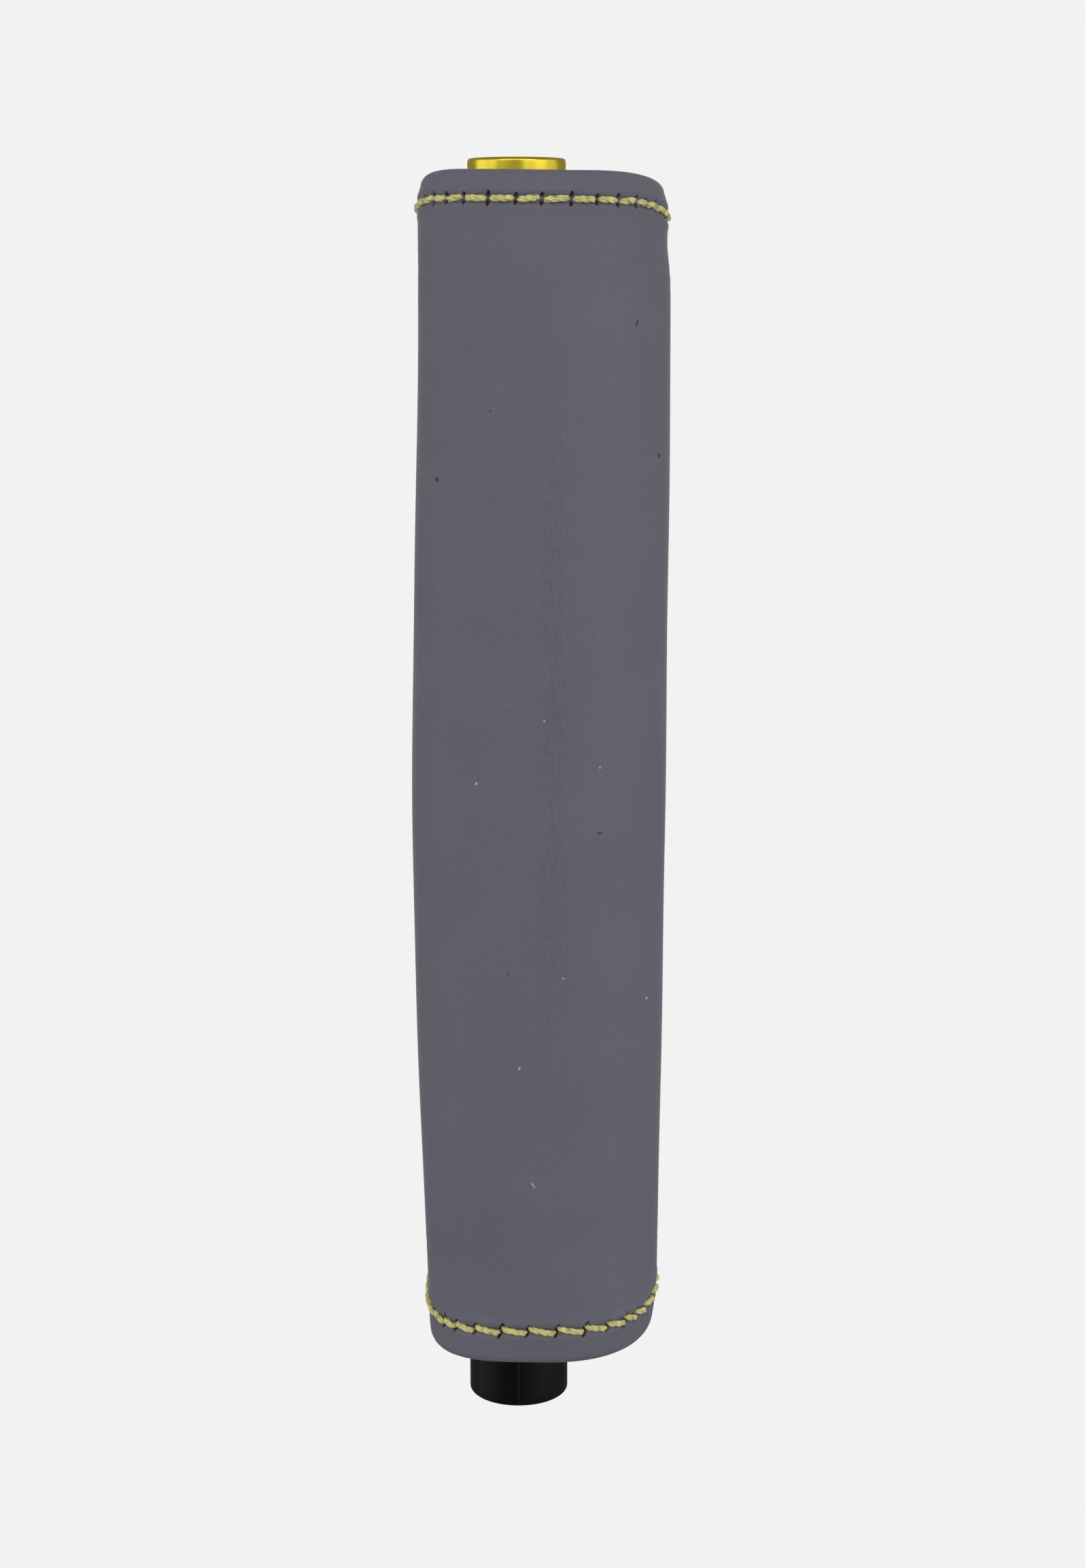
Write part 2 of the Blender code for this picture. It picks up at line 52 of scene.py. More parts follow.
print("frame loaded with", len(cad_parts), "nodes")


def boxOf(node):
    # lowest and highest corner of a frame node, in millimetres
    low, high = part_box(node)
    return np.array(low) / mm, np.array(high) / mm


coverLow, coverHigh = boxOf("leather_cover")
_, rodHigh = boxOf("push_rod")
buttonLow, buttonHigh = boxOf("push_button")
plugTopLow, plugTopHigh = boxOf("top_plug")
plugBottomLow, plugBottomHigh = boxOf("bottom_plug")
coreLow, coreHigh = boxOf("grip_core")
foamLow, foamHigh = boxOf("foam_pad")
springLow, springHigh = boxOf("return_spring")


def setMesh(name, points, faces, faceUv=None, attributes=None):
    # points in millimetres, faces as rows of four vertex numbers (a triangle repeats none: use -1)
    mesh = bpy.data.meshes.new(name)
    points = np.asarray(points, float).reshape(-1, 3)
    faces = np.asarray(faces, int)
    used = faces >= 0
    sizes = used.sum(1)
    mesh.vertices.add(len(points))
    mesh.vertices.foreach_set("co", (points * mm).astype(np.float32).ravel())
    mesh.loops.add(int(sizes.sum()))
    mesh.loops.foreach_set("vertex_index", faces[used].astype(np.int32))
    mesh.polygons.add(len(faces))
    starts = np.concatenate([[0], np.cumsum(sizes)[:-1]])
    mesh.polygons.foreach_set("loop_start", starts.astype(np.int32))
    mesh.polygons.foreach_set("loop_total", sizes.astype(np.int32))
    mesh.polygons.foreach_set("use_smooth", np.ones(len(faces), bool))
    if faceUv is not None:
        layer = mesh.uv_layers.new(name="along")
        layer.data.foreach_set("uv", np.asarray(faceUv, float)[used].astype(np.float32).ravel())
    mesh.update(calc_edges=True)
    mesh.validate()
    for key, values in (attributes or {}).items():
        attribute = mesh.attributes.new(key, "FLOAT", "POINT")
        attribute.data.foreach_set("value", np.asarray(values, np.float32).ravel())
    item = bpy.data.objects.new(name, mesh)
    bpy.context.scene.collection.objects.link(item)
    return item


def gridFaces(rows, columns, closedRows=False):
    # quads of a grid whose columns close round: each quad is one step along and one row up
    row = np.arange(rows if closedRows else rows - 1)[:, None]
    column = np.arange(columns)[None, :]
    after = (column + 1) % columns
    above = (row + 1) % rows
    corners = [row * columns + column, row * columns + after, above * columns + after,
               above * columns + column]
    return np.stack(corners, -1).reshape(-1, 4)


def endFans(rows, columns):
    # triangles that close a grid's first and last row, each round one more point
    column = np.arange(columns)
    after = (column + 1) % columns
    last = (rows - 1) * columns
    none = np.full(columns, -1)
    low = np.stack([after, column, np.full(columns, rows * columns), none], -1)
    high = np.stack([last + column, last + after, np.full(columns, rows * columns + 1), none], -1)
    return np.vstack([low, high])


def gridUv(rows, columns, uLength, vPlaces, closedRows=False):
    # u runs round the piece and v along the rows, both in millimetres
    count = rows if closedRows else rows - 1
    row = np.repeat(np.arange(count), columns)
    column = np.tile(np.arange(columns), count)
    left = column / columns * uLength
    right = (column + 1) / columns * uLength
    v = np.concatenate([vPlaces, [vPlaces[-1] + 1.0]])
    low, high = v[row], v[row + 1]
    return np.stack([np.stack([left, low], -1), np.stack([right, low], -1),
                     np.stack([right, high], -1), np.stack([left, high], -1)], 1)


def sharpen(item, degrees=32):
    item.data.set_sharp_from_angle(angle=math.radians(degrees))
    return item


def roundCorners(profile, radius, steps=4, closed=False):
    # each corner of a (radius, height) profile becomes an arc that is tangent to both its sides
    profile = [np.array(point, float) for point in profile]
    count = len(profile)
    rounded = []
    for index, corner in enumerate(profile):
        if not closed and index in (0, count - 1):
            rounded.append(corner)
            continue
        before = profile[index - 1] - corner
        after = profile[(index + 1) % count] - corner
        reach = min(radius, 0.45 * np.linalg.norm(before), 0.45 * np.linalg.norm(after))
        start = corner + before / np.linalg.norm(before) * reach
        end = corner + after / np.linalg.norm(after) * reach
        for step in np.linspace(0, 1, steps + 1):
            # a quadratic curve from start to end, pulled towards the corner
            rounded.append((1 - step) ** 2 * start + 2 * step * (1 - step) * corner + step ** 2 * end)
    return np.array(rounded)


def lathe(name, profile, columns=128, closed=False, relief=None):
    # a (radius, height) profile, outer side upwards, carried round the Z axis:
    # x = r cos t, y = r sin t, z = height, with r changed by relief(r, z, t) where it is given
    profile = np.asarray(profile, float)
    turn = np.arange(columns) / columns * 2 * math.pi
    radius = np.repeat(profile[:, 0][:, None], columns, 1)
    height = np.repeat(profile[:, 1][:, None], columns, 1)
    angle = np.repeat(turn[None, :], len(profile), 0)
    if relief is not None:
        radius = radius + relief(radius, height, angle)
    points = np.stack([radius * np.cos(angle), radius * np.sin(angle), height], -1)
    rows = len(profile)
    lengths = np.concatenate([[0], np.cumsum(np.linalg.norm(np.diff(profile, axis=0), axis=1))])
    faces = gridFaces(rows, columns, closed)
    uv = gridUv(rows, columns, 2 * math.pi * profile[:, 0].max(), lengths, closed)
    points = points.reshape(-1, 3)
    if not closed:
        # the two ends on the axis are closed by fans round a pole
        poles = np.array([[0, 0, profile[0, 1]], [0, 0, profile[-1, 1]]])
        points = np.vstack([points, poles])
        faces = np.vstack([faces, endFans(rows, columns)])
        uv = np.vstack([uv, np.zeros((2 * columns, 4, 2))])
    return sharpen(setMesh(name, points, faces, uv))


# the grip's outer form, the same as in the frame
gripForm = {
    "rimTop": coverHigh[2],
    "rimBottom": coverLow[2],
    "leftReach": 12.75,
    "leftBulge": 1.36,
    "leftTaper": 0.2,
    "rightReach": 20.1,
    "rightTaper": 0.75,
    "rightNeckIn": 0.75,
    "neckFade": 6.5,
    "rightPinch": 0.33,
    "rightFootIn": 0.45,
    "bulgeHeight": 80.0,
    "bulgeAbove": 88.0,
    "bulgeBelow": 66.0,
    "taperStart": 85.0,
    "taperSpan": 72.0,
    "taperPower": 1.2,
    "depthReach": 15.9,
    "depthBulge": 0.8,
    "leftPower": 3.2,
    "rightPower": 2.3,
}

# each hem: how far its stitches lie from the rim, how far they dip at the left and right,
# the rim's own share of that dip, and how far the rim leans inwards
hems = {
    1: {"row": 3.6, "sag": (1.15, 1.85), "rimShare": (0.9, 0.55), "curl": 0.6, "tilt": 0.25},
    -1: {"row": 4.85, "sag": (0.4, 1.5), "rimShare": (0.5, 0.27), "curl": 0.1, "tilt": 0.0},
}
sagFade = 8.0
curlLength = 1.6
deepestSag = 2.0


def bulge(height):
    # 1 at the fullest height and 0 at the rims: a cosine squared above and a parabola below
    form = gripForm
    if height > form["bulgeHeight"]:
        return math.cos(math.pi / 2 * min((height - form["bulgeHeight"]) / form["bulgeAbove"], 1)) ** 2
    return 1 - min((form["bulgeHeight"] - height) / form["bulgeBelow"], 1) ** 2


def reaches(height):
    # distances from the rod's axis to the left, right and back of the cover
    form = gripForm
    taper = (max(form["taperStart"] - height, 0) / form["taperSpan"]) ** form["taperPower"]
    left = form["leftReach"] + form["leftBulge"] * bulge(height) - form["leftTaper"] * taper
    neck = form["rightNeckIn"] * math.exp(-(form["rimTop"] - height) / form["neckFade"])
    # the right side is also pinched below the upper stitches and leans in at the lower rim
    pinch = form["rightPinch"] * math.exp(-((form["rimTop"] - height - 7.6) / 3.4) ** 2)
    foot = form["rightFootIn"] * math.exp(-((height - form["rimBottom"]) / 3.0) ** 2)
    right = form["rightReach"] - neck - pinch - foot - form["rightTaper"] * taper
    depth = form["depthReach"] + form["depthBulge"] * bulge(height)
    return left, right, depth


def outline(height, inset, share):
    # points and outward normals of the section at shares of its length, from the front's middle:
    # a superellipse, |x/a|^p + |y/b|^p = 1, with its own power on each side
    left, right, depth = (reach - inset for reach in reaches(height))
    centre = (right - left) / 2
    half = (right + left) / 2
    angle = np.linspace(-math.pi / 2, 3 * math.pi / 2, 2881)
    cosine, sine = np.cos(angle), np.sin(angle)
    power = np.where(cosine < 0, gripForm["leftPower"], gripForm["rightPower"])
    x = centre + half * np.sign(cosine) * np.abs(cosine) ** (2 / power)
    y = depth * np.sign(sine) * np.abs(sine) ** (2 / power)
    length = np.concatenate([[0], np.cumsum(np.hypot(np.diff(x), np.diff(y)))])
    wanted = (np.asarray(share) % 1.0) * length[-1]
    px, py = np.interp(wanted, length, x), np.interp(wanted, length, y)
    step = 0.02
    ax = np.interp((wanted + step) % length[-1], length, x)
    ay = np.interp((wanted + step) % length[-1], length, y)
    bx = np.interp((wanted - step) % length[-1], length, x)
    by = np.interp((wanted - step) % length[-1], length, y)
    tx, ty = ax - bx, ay - by
    size = np.hypot(tx, ty)
    return px, py, ty / size, -tx / size, length[-1]


def between(ends, across):
    # from the first of two values at across = -1 to the second at +1
    return (ends[0] + ends[1]) / 2 + (ends[1] - ends[0]) / 2 * across


def hemSag(end, x, y, height, distance):
    # how far a hem dips at the narrow sides, faded out with the distance from the rim
    hem = hems[end]
    across = np.clip(x / gripForm["rightReach"], -1, 1)
    facing = np.clip(1 - (y / reaches(height)[2]) ** 2, 0, 1) ** 3
    rim = between(hem["rimShare"], across)
    start = rim + (1 - rim) * min(distance / hem["row"], 1)
    fade = math.exp(-(max(distance - hem["row"], 0) / sagFade) ** 2)
    return (between(hem["sag"], across) * facing * start + hem["tilt"] * across) * fade


def rimCurl(end, distance):
    # how far the rim leans inwards, dying away with the distance from it
    return hems[end]["curl"] * math.exp(-(distance / curlLength) ** 2)


leatherCover = {
    "thickness": 1.0,
    "foldRadius": 1.15,
    "hemDepth": 8.0,
    "columns": 512,
    "grooveDepth": 0.38,
    "grooveWidth": 0.50,
    "slitDepth": 0.55,
    "slitWidth": 0.27,
    "puckerHeight": 0.11,
    "seamDepth": 0.50,
    "seamWidth": 0.30,
    "seamShoulder": 0.14,
    "softness": 0.05,
    "plainBottom": 16.7,
    "plainTop": 15.4,
    "plainRows": 36,
    "gatherStart": 7.0,
    "gatherSpan": 8.0,
    "fineReach": 1.35,
    "fineStep": 0.1,
    "ridgePlace": 1.15,
    "ridgeWidth": 0.5,
    "knobLength": 0.42,
    "knobWidth": 0.5,
    "seamShoulderPlace": 0.95,
    "seamShoulderWidth": 0.5,
}


# stitches: their number round the grip, where the first one starts, their length on the flat,
# how much longer they are in the middle of the front and back, how much shorter at the corners
stitching = {
    1: {"count": 36, "phase": 0.0, "length": 3.25, "longer": 0.45, "shorter": 1.25, "lean": 4.0,
        "wander": 0.05, "slit": 0.88},
    -1: {"count": 33, "phase": 0.5, "length": 3.4, "longer": 0.60, "shorter": 1.4, "lean": 16.0,
         "wander": 0.03, "slit": 1.12},
}


def stitchPlaces(end):
    # stitch numbers against shares of the outline: the running sum of one over the stitch length
    sewing = stitching[end]
    rim = gripForm["rimTop"] if end > 0 else gripForm["rimBottom"]
    perimeter = outline(rim - end * hems[end]["row"], 0, [0])[4]
    share = np.linspace(-0.5, 0.5, 4001)
    arc = np.abs(share) * perimeter
    arc = np.minimum(arc, perimeter / 2 - arc)
    length = sewing["length"] + sewing["longer"] * np.exp(-(arc / 4.0) ** 2)
    length = length - sewing["shorter"] * np.exp(-((arc - 14.0) / 2.8) ** 2)
    number = np.concatenate([[0], np.cumsum(2 / (length[1:] + length[:-1]))])
    number = (number - number[2000]) / number[-1] * sewing["count"]
    number = number + sewing["wander"] * np.sin(2.3 * number + 1.1) * np.cos(math.pi * share) ** 2
    return share, number


stitchTables = {end: stitchPlaces(end) for end in (1, -1)}


def shareOfStitch(end, number):
    # the share of the outline at a stitch number, counted from the middle of the front
    share, numbers = stitchTables[end]
    count = stitching[end]["count"]
    number = np.asarray(number, float)
    turns = np.floor((number - numbers[0]) / count)
    return np.interp(number - turns * count, numbers, share) + turns


def stitchOfShare(end, share):
    # the stitch number at a share of the outline, the other way round
    shares, numbers = stitchTables[end]
    wrapped = (np.asarray(share, float) + 0.5) % 1.0 - 0.5
    return np.interp(wrapped, shares, numbers)


def gathered(share, end):
    # grid columns drawn together at the needle holes: the stitch number less a sine wave
    count, phase = stitching[end]["count"], stitching[end]["phase"]
    number = share * count
    return shareOfStitch(end, number - 0.6 * np.sin(2 * math.pi * (number - phase)) / (2 * math.pi))


def backShare(height, inset):
    # the share of the section at which its back's middle lies, x = (right - left) / 2
    share = np.linspace(0.4, 0.6, 201)
    x = outline(height, inset, share)[0]
    left, right, _ = reaches(height)
    return np.interp((left - right) / 2, -x, share)


def gatheredAtSeam(share, back):
    # grid columns drawn together at the seam, s + 0.6 sin(2 pi s) / 2 pi, halves fitted to its place
    drawn = share + 0.6 * np.sin(2 * math.pi * share) / (2 * math.pi)
    return np.where(drawn < 0.5, drawn * 2 * back, 1 - (1 - drawn) * 2 * (1 - back))


def endRows(end):
    # (distance from the rim, inset) from the hem's inner edge, over the fold, to plain wall
    cover = leatherCover
    radius = cover["foldRadius"]
    row = hems[end]["row"]
    curl = rimCurl(end, radius)
    rows = [(distance, rimCurl(end, distance) + 2 * radius)
            for distance in (cover["hemDepth"], 6.2, 4.6, 3.3, 2.2, 1.6)]
    for turn in np.linspace(0, math.pi, 12):
        rows.append((radius * (1 - math.sin(turn)), curl + radius * (1 + math.cos(turn))))
    reach, step = cover["fineReach"], cover["fineStep"]
    near = np.linspace(1.5, row - reach, 6 if end > 0 else 8)[:-1]
    fine = np.arange(row - reach, row + reach + step / 2, step)
    far = row + np.array([1.6, 2.0, 2.6, 3.4, 4.4, 5.6, 7.2, 9.2, 11.8])
    rows += [(distance, rimCurl(end, distance)) for distance in (*near, *fine, *far)]
    return rows


def makeLeatherCover():
    # one closed sheet: up the outside from hem to hem, over the fold and down the hidden side,
    # each row the sleeve's outline at its height drawn in by that row's inset
    cover = leatherCover
    rimTop, rimBottom = gripForm["rimTop"], gripForm["rimBottom"]
    thick, radius = cover["thickness"], cover["foldRadius"]
    outer = [(-1, distance, inset) for distance, inset in endRows(-1)]
    plainLow, plainHigh = rimBottom + cover["plainBottom"], rimTop - cover["plainTop"]
    for height in np.linspace(plainLow, plainHigh, cover["plainRows"])[1:-1]:
        outer.append((-1, height - rimBottom, 0.0))
    outer += [(1, distance, inset) for distance, inset in endRows(1)[::-1]]
    # back down the hidden side of the leather
    behind = 2 * radius - thick
    hidden = [(cover["hemDepth"], behind), (5.0, behind), (2.6, behind), (1.0, radius)]
    hidden += [(2.6, thick), (5.0, thick), (9.0, thick)]
    inside = [(1, distance, inset + rimCurl(1, distance)) for distance, inset in hidden]
    heights = np.linspace(rimTop - 20, rimBottom + 20, 7)
    inside += [(-1, height - rimBottom, thick) for height in heights]
    inside += [(-1, distance, inset + rimCurl(-1, distance)) for distance, inset in hidden[::-1]]
    rows = outer + inside
    columns = cover["columns"]
    plain = np.arange(columns) / columns
    points = np.zeros((len(rows), columns, 3))
    shares = np.zeros((len(rows), columns))
    backs = []
    for index, (end, distance, inset) in enumerate(rows):
        height = rimTop - distance if end > 0 else rimBottom + distance
        toTop, toBottom = rimTop - height, height - rimBottom
        isEnd = 1 - np.clip((min(toTop, toBottom) - cover["gatherStart"]) / cover["gatherSpan"], 0, 1)
        isEnd = isEnd * isEnd * (3 - 2 * isEnd)
        nearEnd = 1 if toTop < toBottom else -1
        back = backShare(height, inset)
        backs.append(back)
        share = isEnd * gathered(plain, nearEnd) + (1 - isEnd) * gatheredAtSeam(plain, back)
        x, y, _, _, perimeter = outline(height, inset, share)
        dip = hemSag(nearEnd, x, y, height, min(toTop, toBottom))
        points[index] = np.stack([x, y, height - nearEnd * dip], -1)
        shares[index] = share
    # outward normals from the grid's own steps
    along = np.roll(points, -1, 1) - np.roll(points, 1, 1)
    upward = np.roll(points, -1, 0) - np.roll(points, 1, 0)
    normal = np.cross(along, upward)
    normal /= np.linalg.norm(normal, axis=-1, keepdims=True) + 1e-12
    depth = np.zeros(shares.shape)
    # dark gathers the slits' masks: painted shade for the needle holes, kept as an attribute
    dark = np.zeros(shares.shape)
    for index, (end, distance, inset) in enumerate(outer):
        height = rimTop - distance if end > 0 else rimBottom + distance
        wall = 1.0 if inset < radius * 0.8 + rimCurl(end, distance) else 0.0
        for side, toRim in ((1, rimTop - height), (-1, height - rimBottom)):
            if toRim < 16 and wall:
                move, shade = stitchPress(side, toRim, shares[index], perimeter)
                depth[index] += move
                dark[index] += shade
        seam = (shares[index] - backs[index]) * perimeter
        depth[index] -= cover["seamDepth"] * np.exp(-(seam / cover["seamWidth"]) ** 2)
        beside = (np.abs(seam) - cover["seamShoulderPlace"]) / cover["seamShoulderWidth"]
        depth[index] += cover["seamShoulder"] * np.exp(-beside ** 2) * wall
        # soft unevenness of leather over foam: a few long sine waves
        turn = 2 * math.pi * shares[index]
        soft = np.sin(3 * turn + 0.061 * height + 0.8) + np.sin(5 * turn - 0.043 * height)
        soft = soft + 0.7 * np.sin(2 * turn + 0.17 * height + 2.1)
        depth[index] += cover["softness"] * soft * wall
    points += normal * depth[..., None]
    faces = gridFaces(len(rows), columns, True)
    return setMesh("leatherCover", points, faces, None, {"holes": np.clip(dark, 0, 1)})


def stitchPress(end, toRim, share, perimeter):
    # how a row of stitches presses the leather at a distance from the rim: a long groove,
    # a leaning slit at each needle hole, and low ridges either side
    cover = leatherCover
    up = (hems[end]["row"] - toRim) * end
    place = stitchOfShare(end, share) - stitching[end]["phase"]
    number = np.round(place)
    middle = shareOfStitch(end, number + stitching[end]["phase"])
    along = ((share - middle + 0.5) % 1.0 - 0.5) * perimeter
    lean = math.radians(stitching[end]["lean"])
    across = along * math.cos(lean) - up * math.sin(lean)
    lengthwise = np.abs(along * math.sin(lean) + up * math.cos(lean))
    length = stitching[end]["slit"] * (1 + 0.16 * np.sin(number * 2.3))
    # a slit is a long diamond: it narrows towards both its ends
    width = cover["slitWidth"] * np.clip(1 - (lengthwise / length) ** 3, 0.02, 1)
    slit = np.exp(-(across / width) ** 4) * (lengthwise < length)
    groove = np.exp(-(up / cover["grooveWidth"]) ** 2)
    if end > 0:
        # the top row leaves a knob of leather between one stitch and the next
        knob = np.exp(-(lengthwise / cover["knobLength"]) ** 4)
        knob = knob * np.exp(-(along / cover["knobWidth"]) ** 2)
        knob = knob * (0.74 + 0.26 * np.sin(number * 1.9 + 1.0))
        slit = slit * (1 - knob)
        groove = groove * (1 - 0.75 * knob)
    ridge = np.exp(-((abs(up) - cover["ridgePlace"]) / cover["ridgeWidth"]) ** 2)
    ridge = ridge * (1 - 0.6 * np.exp(-(along / 0.6) ** 2))
    move = -cover["grooveDepth"] * groove - cover["slitDepth"] * slit + cover["puckerHeight"] * ridge
    # the slit mask comes back as well, to paint the needle holes near-black: painted shade
    return move, slit


hemThread = {
    "topRadius": 0.41,
    "bottomRadius": 0.41,
    "plies": 3,
    "plyShare": 0.56,
    "twistPitch": 3.3,
    "sides": 8,
    "steps": 18,
    "lift": 0.07,
    "endDrop": 0.85,
    "endReach": 0.075,
    "endTaper": 0.40,
    "belly": 0.08,
    "topGap": 0.30,
    "bottomGap": 0.14,
    "bottomSlope": 0.32,
    "topSlope": -0.05,
    "topWander": 0.10,
}

seamThread = {
    "radius": 0.34,
    "plies": 3,
    "plyShare": 0.56,
    "twistPitch": 2.4,
    "sides": 6,
    "steps": 9,
    "stitches": 38,
    "start": 10.0,
    "reach": 1.15,
    "rise": 1.1,
    "lift": 0.16,
    "rest": 0.02,
    "startSink": 0.50,
    "startReach": 0.22,
    "endSink": 0.55,
    "endReach": 0.10,
    "backCurve": 0.004,
}


def twistedThreads(name, centre, normal, values, radius, taper):
    # plies carried along many short centrelines at once, centre[line, step, xyz]:
    # each ply's middle circles the line, p = c + q (n cos a + b sin a), and its skin circles that
    lines, steps, _ = centre.shape
    tangent = np.gradient(centre, axis=1)
    tangent /= np.linalg.norm(tangent, axis=-1, keepdims=True)
    binormal = np.cross(tangent, normal)
    binormal /= np.linalg.norm(binormal, axis=-1, keepdims=True)
    facing = np.cross(binormal, tangent)
    travelled = np.concatenate([np.zeros((lines, 1)), np.cumsum(
        np.linalg.norm(np.diff(centre, axis=1), axis=-1), axis=1)], 1)
    plies, sides = values["plies"], values["sides"]
    plyRadius = radius * values["plyShare"]
    offset = radius - plyRadius
    start = np.arange(lines)[:, None] * 1.7
    turn = 2 * math.pi * np.arange(sides) / sides
    points, faces, uv = [], [], []
    for ply in range(plies):
        angle = start + 2 * math.pi * (travelled / values["twistPitch"] + ply / plies)
        middle = centre + (offset * taper)[..., None] * (
            facing * np.cos(angle)[..., None] + binormal * np.sin(angle)[..., None])
        way = np.gradient(middle, axis=1)
        way /= np.linalg.norm(way, axis=-1, keepdims=True)
        side = np.cross(way, facing)
        side /= np.linalg.norm(side, axis=-1, keepdims=True)
        out = np.cross(side, way)
        skin = middle[:, :, None, :] + (plyRadius * taper)[:, :, None, None] * (
            out[:, :, None, :] * np.cos(turn)[None, None, :, None]
            + side[:, :, None, :] * np.sin(turn)[None, None, :, None])
        base = len(points) * lines * (steps * sides + 2)
        tips = np.stack([middle[:, 0], middle[:, -1]], 1)
        block = np.concatenate([skin.reshape(lines, -1, 3), tips], 1).reshape(-1, 3)
        points.append(block)
        single = np.vstack([gridFaces(steps, sides), endFans(steps, sides)])
        shift = base + np.arange(lines)[:, None, None] * (steps * sides + 2)
        moved = np.where(single[None] >= 0, single[None] + shift, -1)
        faces.append(moved.reshape(-1, 4))
        for line in range(lines):
            wound = gridUv(steps, sides, 2 * math.pi * plyRadius, travelled[line] + line * 7.3)
            uv.append(np.vstack([wound, np.zeros((2 * sides, 4, 2))]))
    return setMesh(name, np.vstack(points), np.vstack(faces), np.vstack(uv))


def makeHemThread(name, end):
    # one strand a stitch, on the outline between two needle holes: lifted by a sine in the middle
    # and dropped by a Gaussian, exp(-(u / reach)^2), at both ends
    values, sewing, row = hemThread, stitching[end], hems[end]["row"]
    number = np.arange(sewing["count"])[:, None]
    steps = values["steps"]
    # steps crowd towards the two ends, where the thread turns down into its holes
    along = (1 - np.cos(np.linspace(0, math.pi, steps)))[None, :] / 2
    height = gripForm["rimTop"] - row if end > 0 else gripForm["rimBottom"] + row
    perimeter = outline(height, 0, [0])[4]
    first = shareOfStitch(end, number + sewing["phase"])
    last = shareOfStitch(end, number + sewing["phase"] + 1)
    gap = (values["topGap"] if end > 0 else values["bottomGap"]) / perimeter
    share = first + gap + (last - first - 2 * gap) * along
    x, y, nx, ny, _ = outline(height, rimCurl(end, row), share.ravel())
    shape = share.shape
    x, y, nx, ny = (part.reshape(shape) for part in (x, y, nx, ny))
    drop = np.exp(-(along / values["endReach"]) ** 2) + np.exp(-((1 - along) / values["endReach"]) ** 2)
    lift = values["lift"] * np.sin(math.pi * along) - values["endDrop"] * drop
    wander = np.sin(number * 2.37 + 0.9) + 0.6 * np.sin(number * 5.1)
    if end > 0:
        up = (values["topSlope"] - values["topWander"] * wander) * (1 - 2 * along)
    else:
        up = values["bottomSlope"] * (1 + 0.15 * wander) * (1 - 2 * along)
    sag = hemSag(end, x, y, height, row)
    centre = np.stack([x + nx * lift, y + ny * lift, height - end * sag + up], -1)
    normal = np.stack([nx, ny, np.zeros(shape)], -1)
    radius = values["topRadius"] if end > 0 else values["bottomRadius"]
    taper = 1 - values["endTaper"] * drop + values["belly"] * np.sin(math.pi * along)
    return twistedThreads(name, centre, normal, values, radius, taper)


def makeSeamThread():
    # short slanting stitches from the seam's gap to a hole on one side and then the other
    values = seamThread
    count = 2 * values["stitches"]
    low = gripForm["rimBottom"] + values["start"]
    high = gripForm["rimTop"] - values["start"]
    base = np.linspace(low, high, count)
    side = np.where(np.arange(count) % 2 == 0, 1.0, -1.0)
    along = np.linspace(0, 1, values["steps"])
    centre = np.zeros((count, values["steps"], 3))
    normal = np.zeros(centre.shape)
    for index in range(count):
        left, right, depth = reaches(base[index])
        middle = (right - left) / 2
        across = side[index] * values["reach"] * along
        sink = -values["startSink"] * np.exp(-(along / values["startReach"]) ** 2)
        sink = sink - values["endSink"] * np.exp(-((1 - along) / values["endReach"]) ** 2)
        lift = values["lift"] * np.sin(math.pi * along) + values["rest"] + sink
        back = depth + lift - values["backCurve"] * across ** 2
        centre[index] = np.stack([middle - across, back, base[index] + values["rise"] * along], -1)
        normal[index] = (0, 1, 0)
    taper = np.ones((count, values["steps"]))
    return twistedThreads("backSeamThread", centre, normal, values, values["radius"], taper)


foamPad = {
    "inset": 1.3,
    "bore": coreHigh[0] + gap,
    "cellDepth": 0.06,
    "columns": 192,
    "rows": 60,
    "pocketHalfWidth": 2.9,
    "pocketDepth": 2.3,
    "pocketLow": 31.6,
    "pocketHigh": 52.4,
}


def makeFoamPad():
    # a closed wall between the cover's section and the round core, with a pocket for the clip
    values = foamPad
    share = np.arange(values["columns"]) / values["columns"]
    heights = np.linspace(foamLow[2], foamHigh[2], values["rows"])
    rows = []
    for height in heights:
        x, y, nx, ny, _ = outline(height, values["inset"], share)
        cells = values["cellDepth"] * np.sin(40 * math.pi * share + height) * np.sin(1.9 * height)
        level = np.full(len(share), height)
        rows.append(np.stack([x - nx * abs(cells), y - ny * abs(cells), level], -1))
    angle = np.arctan2(rows[0][:, 1], rows[0][:, 0])
    for height in heights[::-1]:
        inside = (height > values["pocketLow"]) & (height < values["pocketHigh"])
        sideways = np.abs(np.sin(angle) * values["bore"]) < values["pocketHalfWidth"]
        radius = values["bore"] + values["pocketDepth"] * (inside & sideways & (np.cos(angle) > 0))
        rows.append(np.stack([radius * np.cos(angle), radius * np.sin(angle),
                              np.full(len(share), height)], -1))
    points = np.stack(rows)
    return sharpen(setMesh("foamPad", points, gridFaces(len(rows), len(share), True)), 40)


endPlug = {
    "columns": 160,
    "recess": 1.9,
    "shoulderStep": 0.5,
    "edge": 0.2,
    "bodyInset": 1.3,
    "chamfer": 0.35,
    "faceDish": 0.25,
    "buttonBore": 6.9,
    "leverBore": 8.4,
}


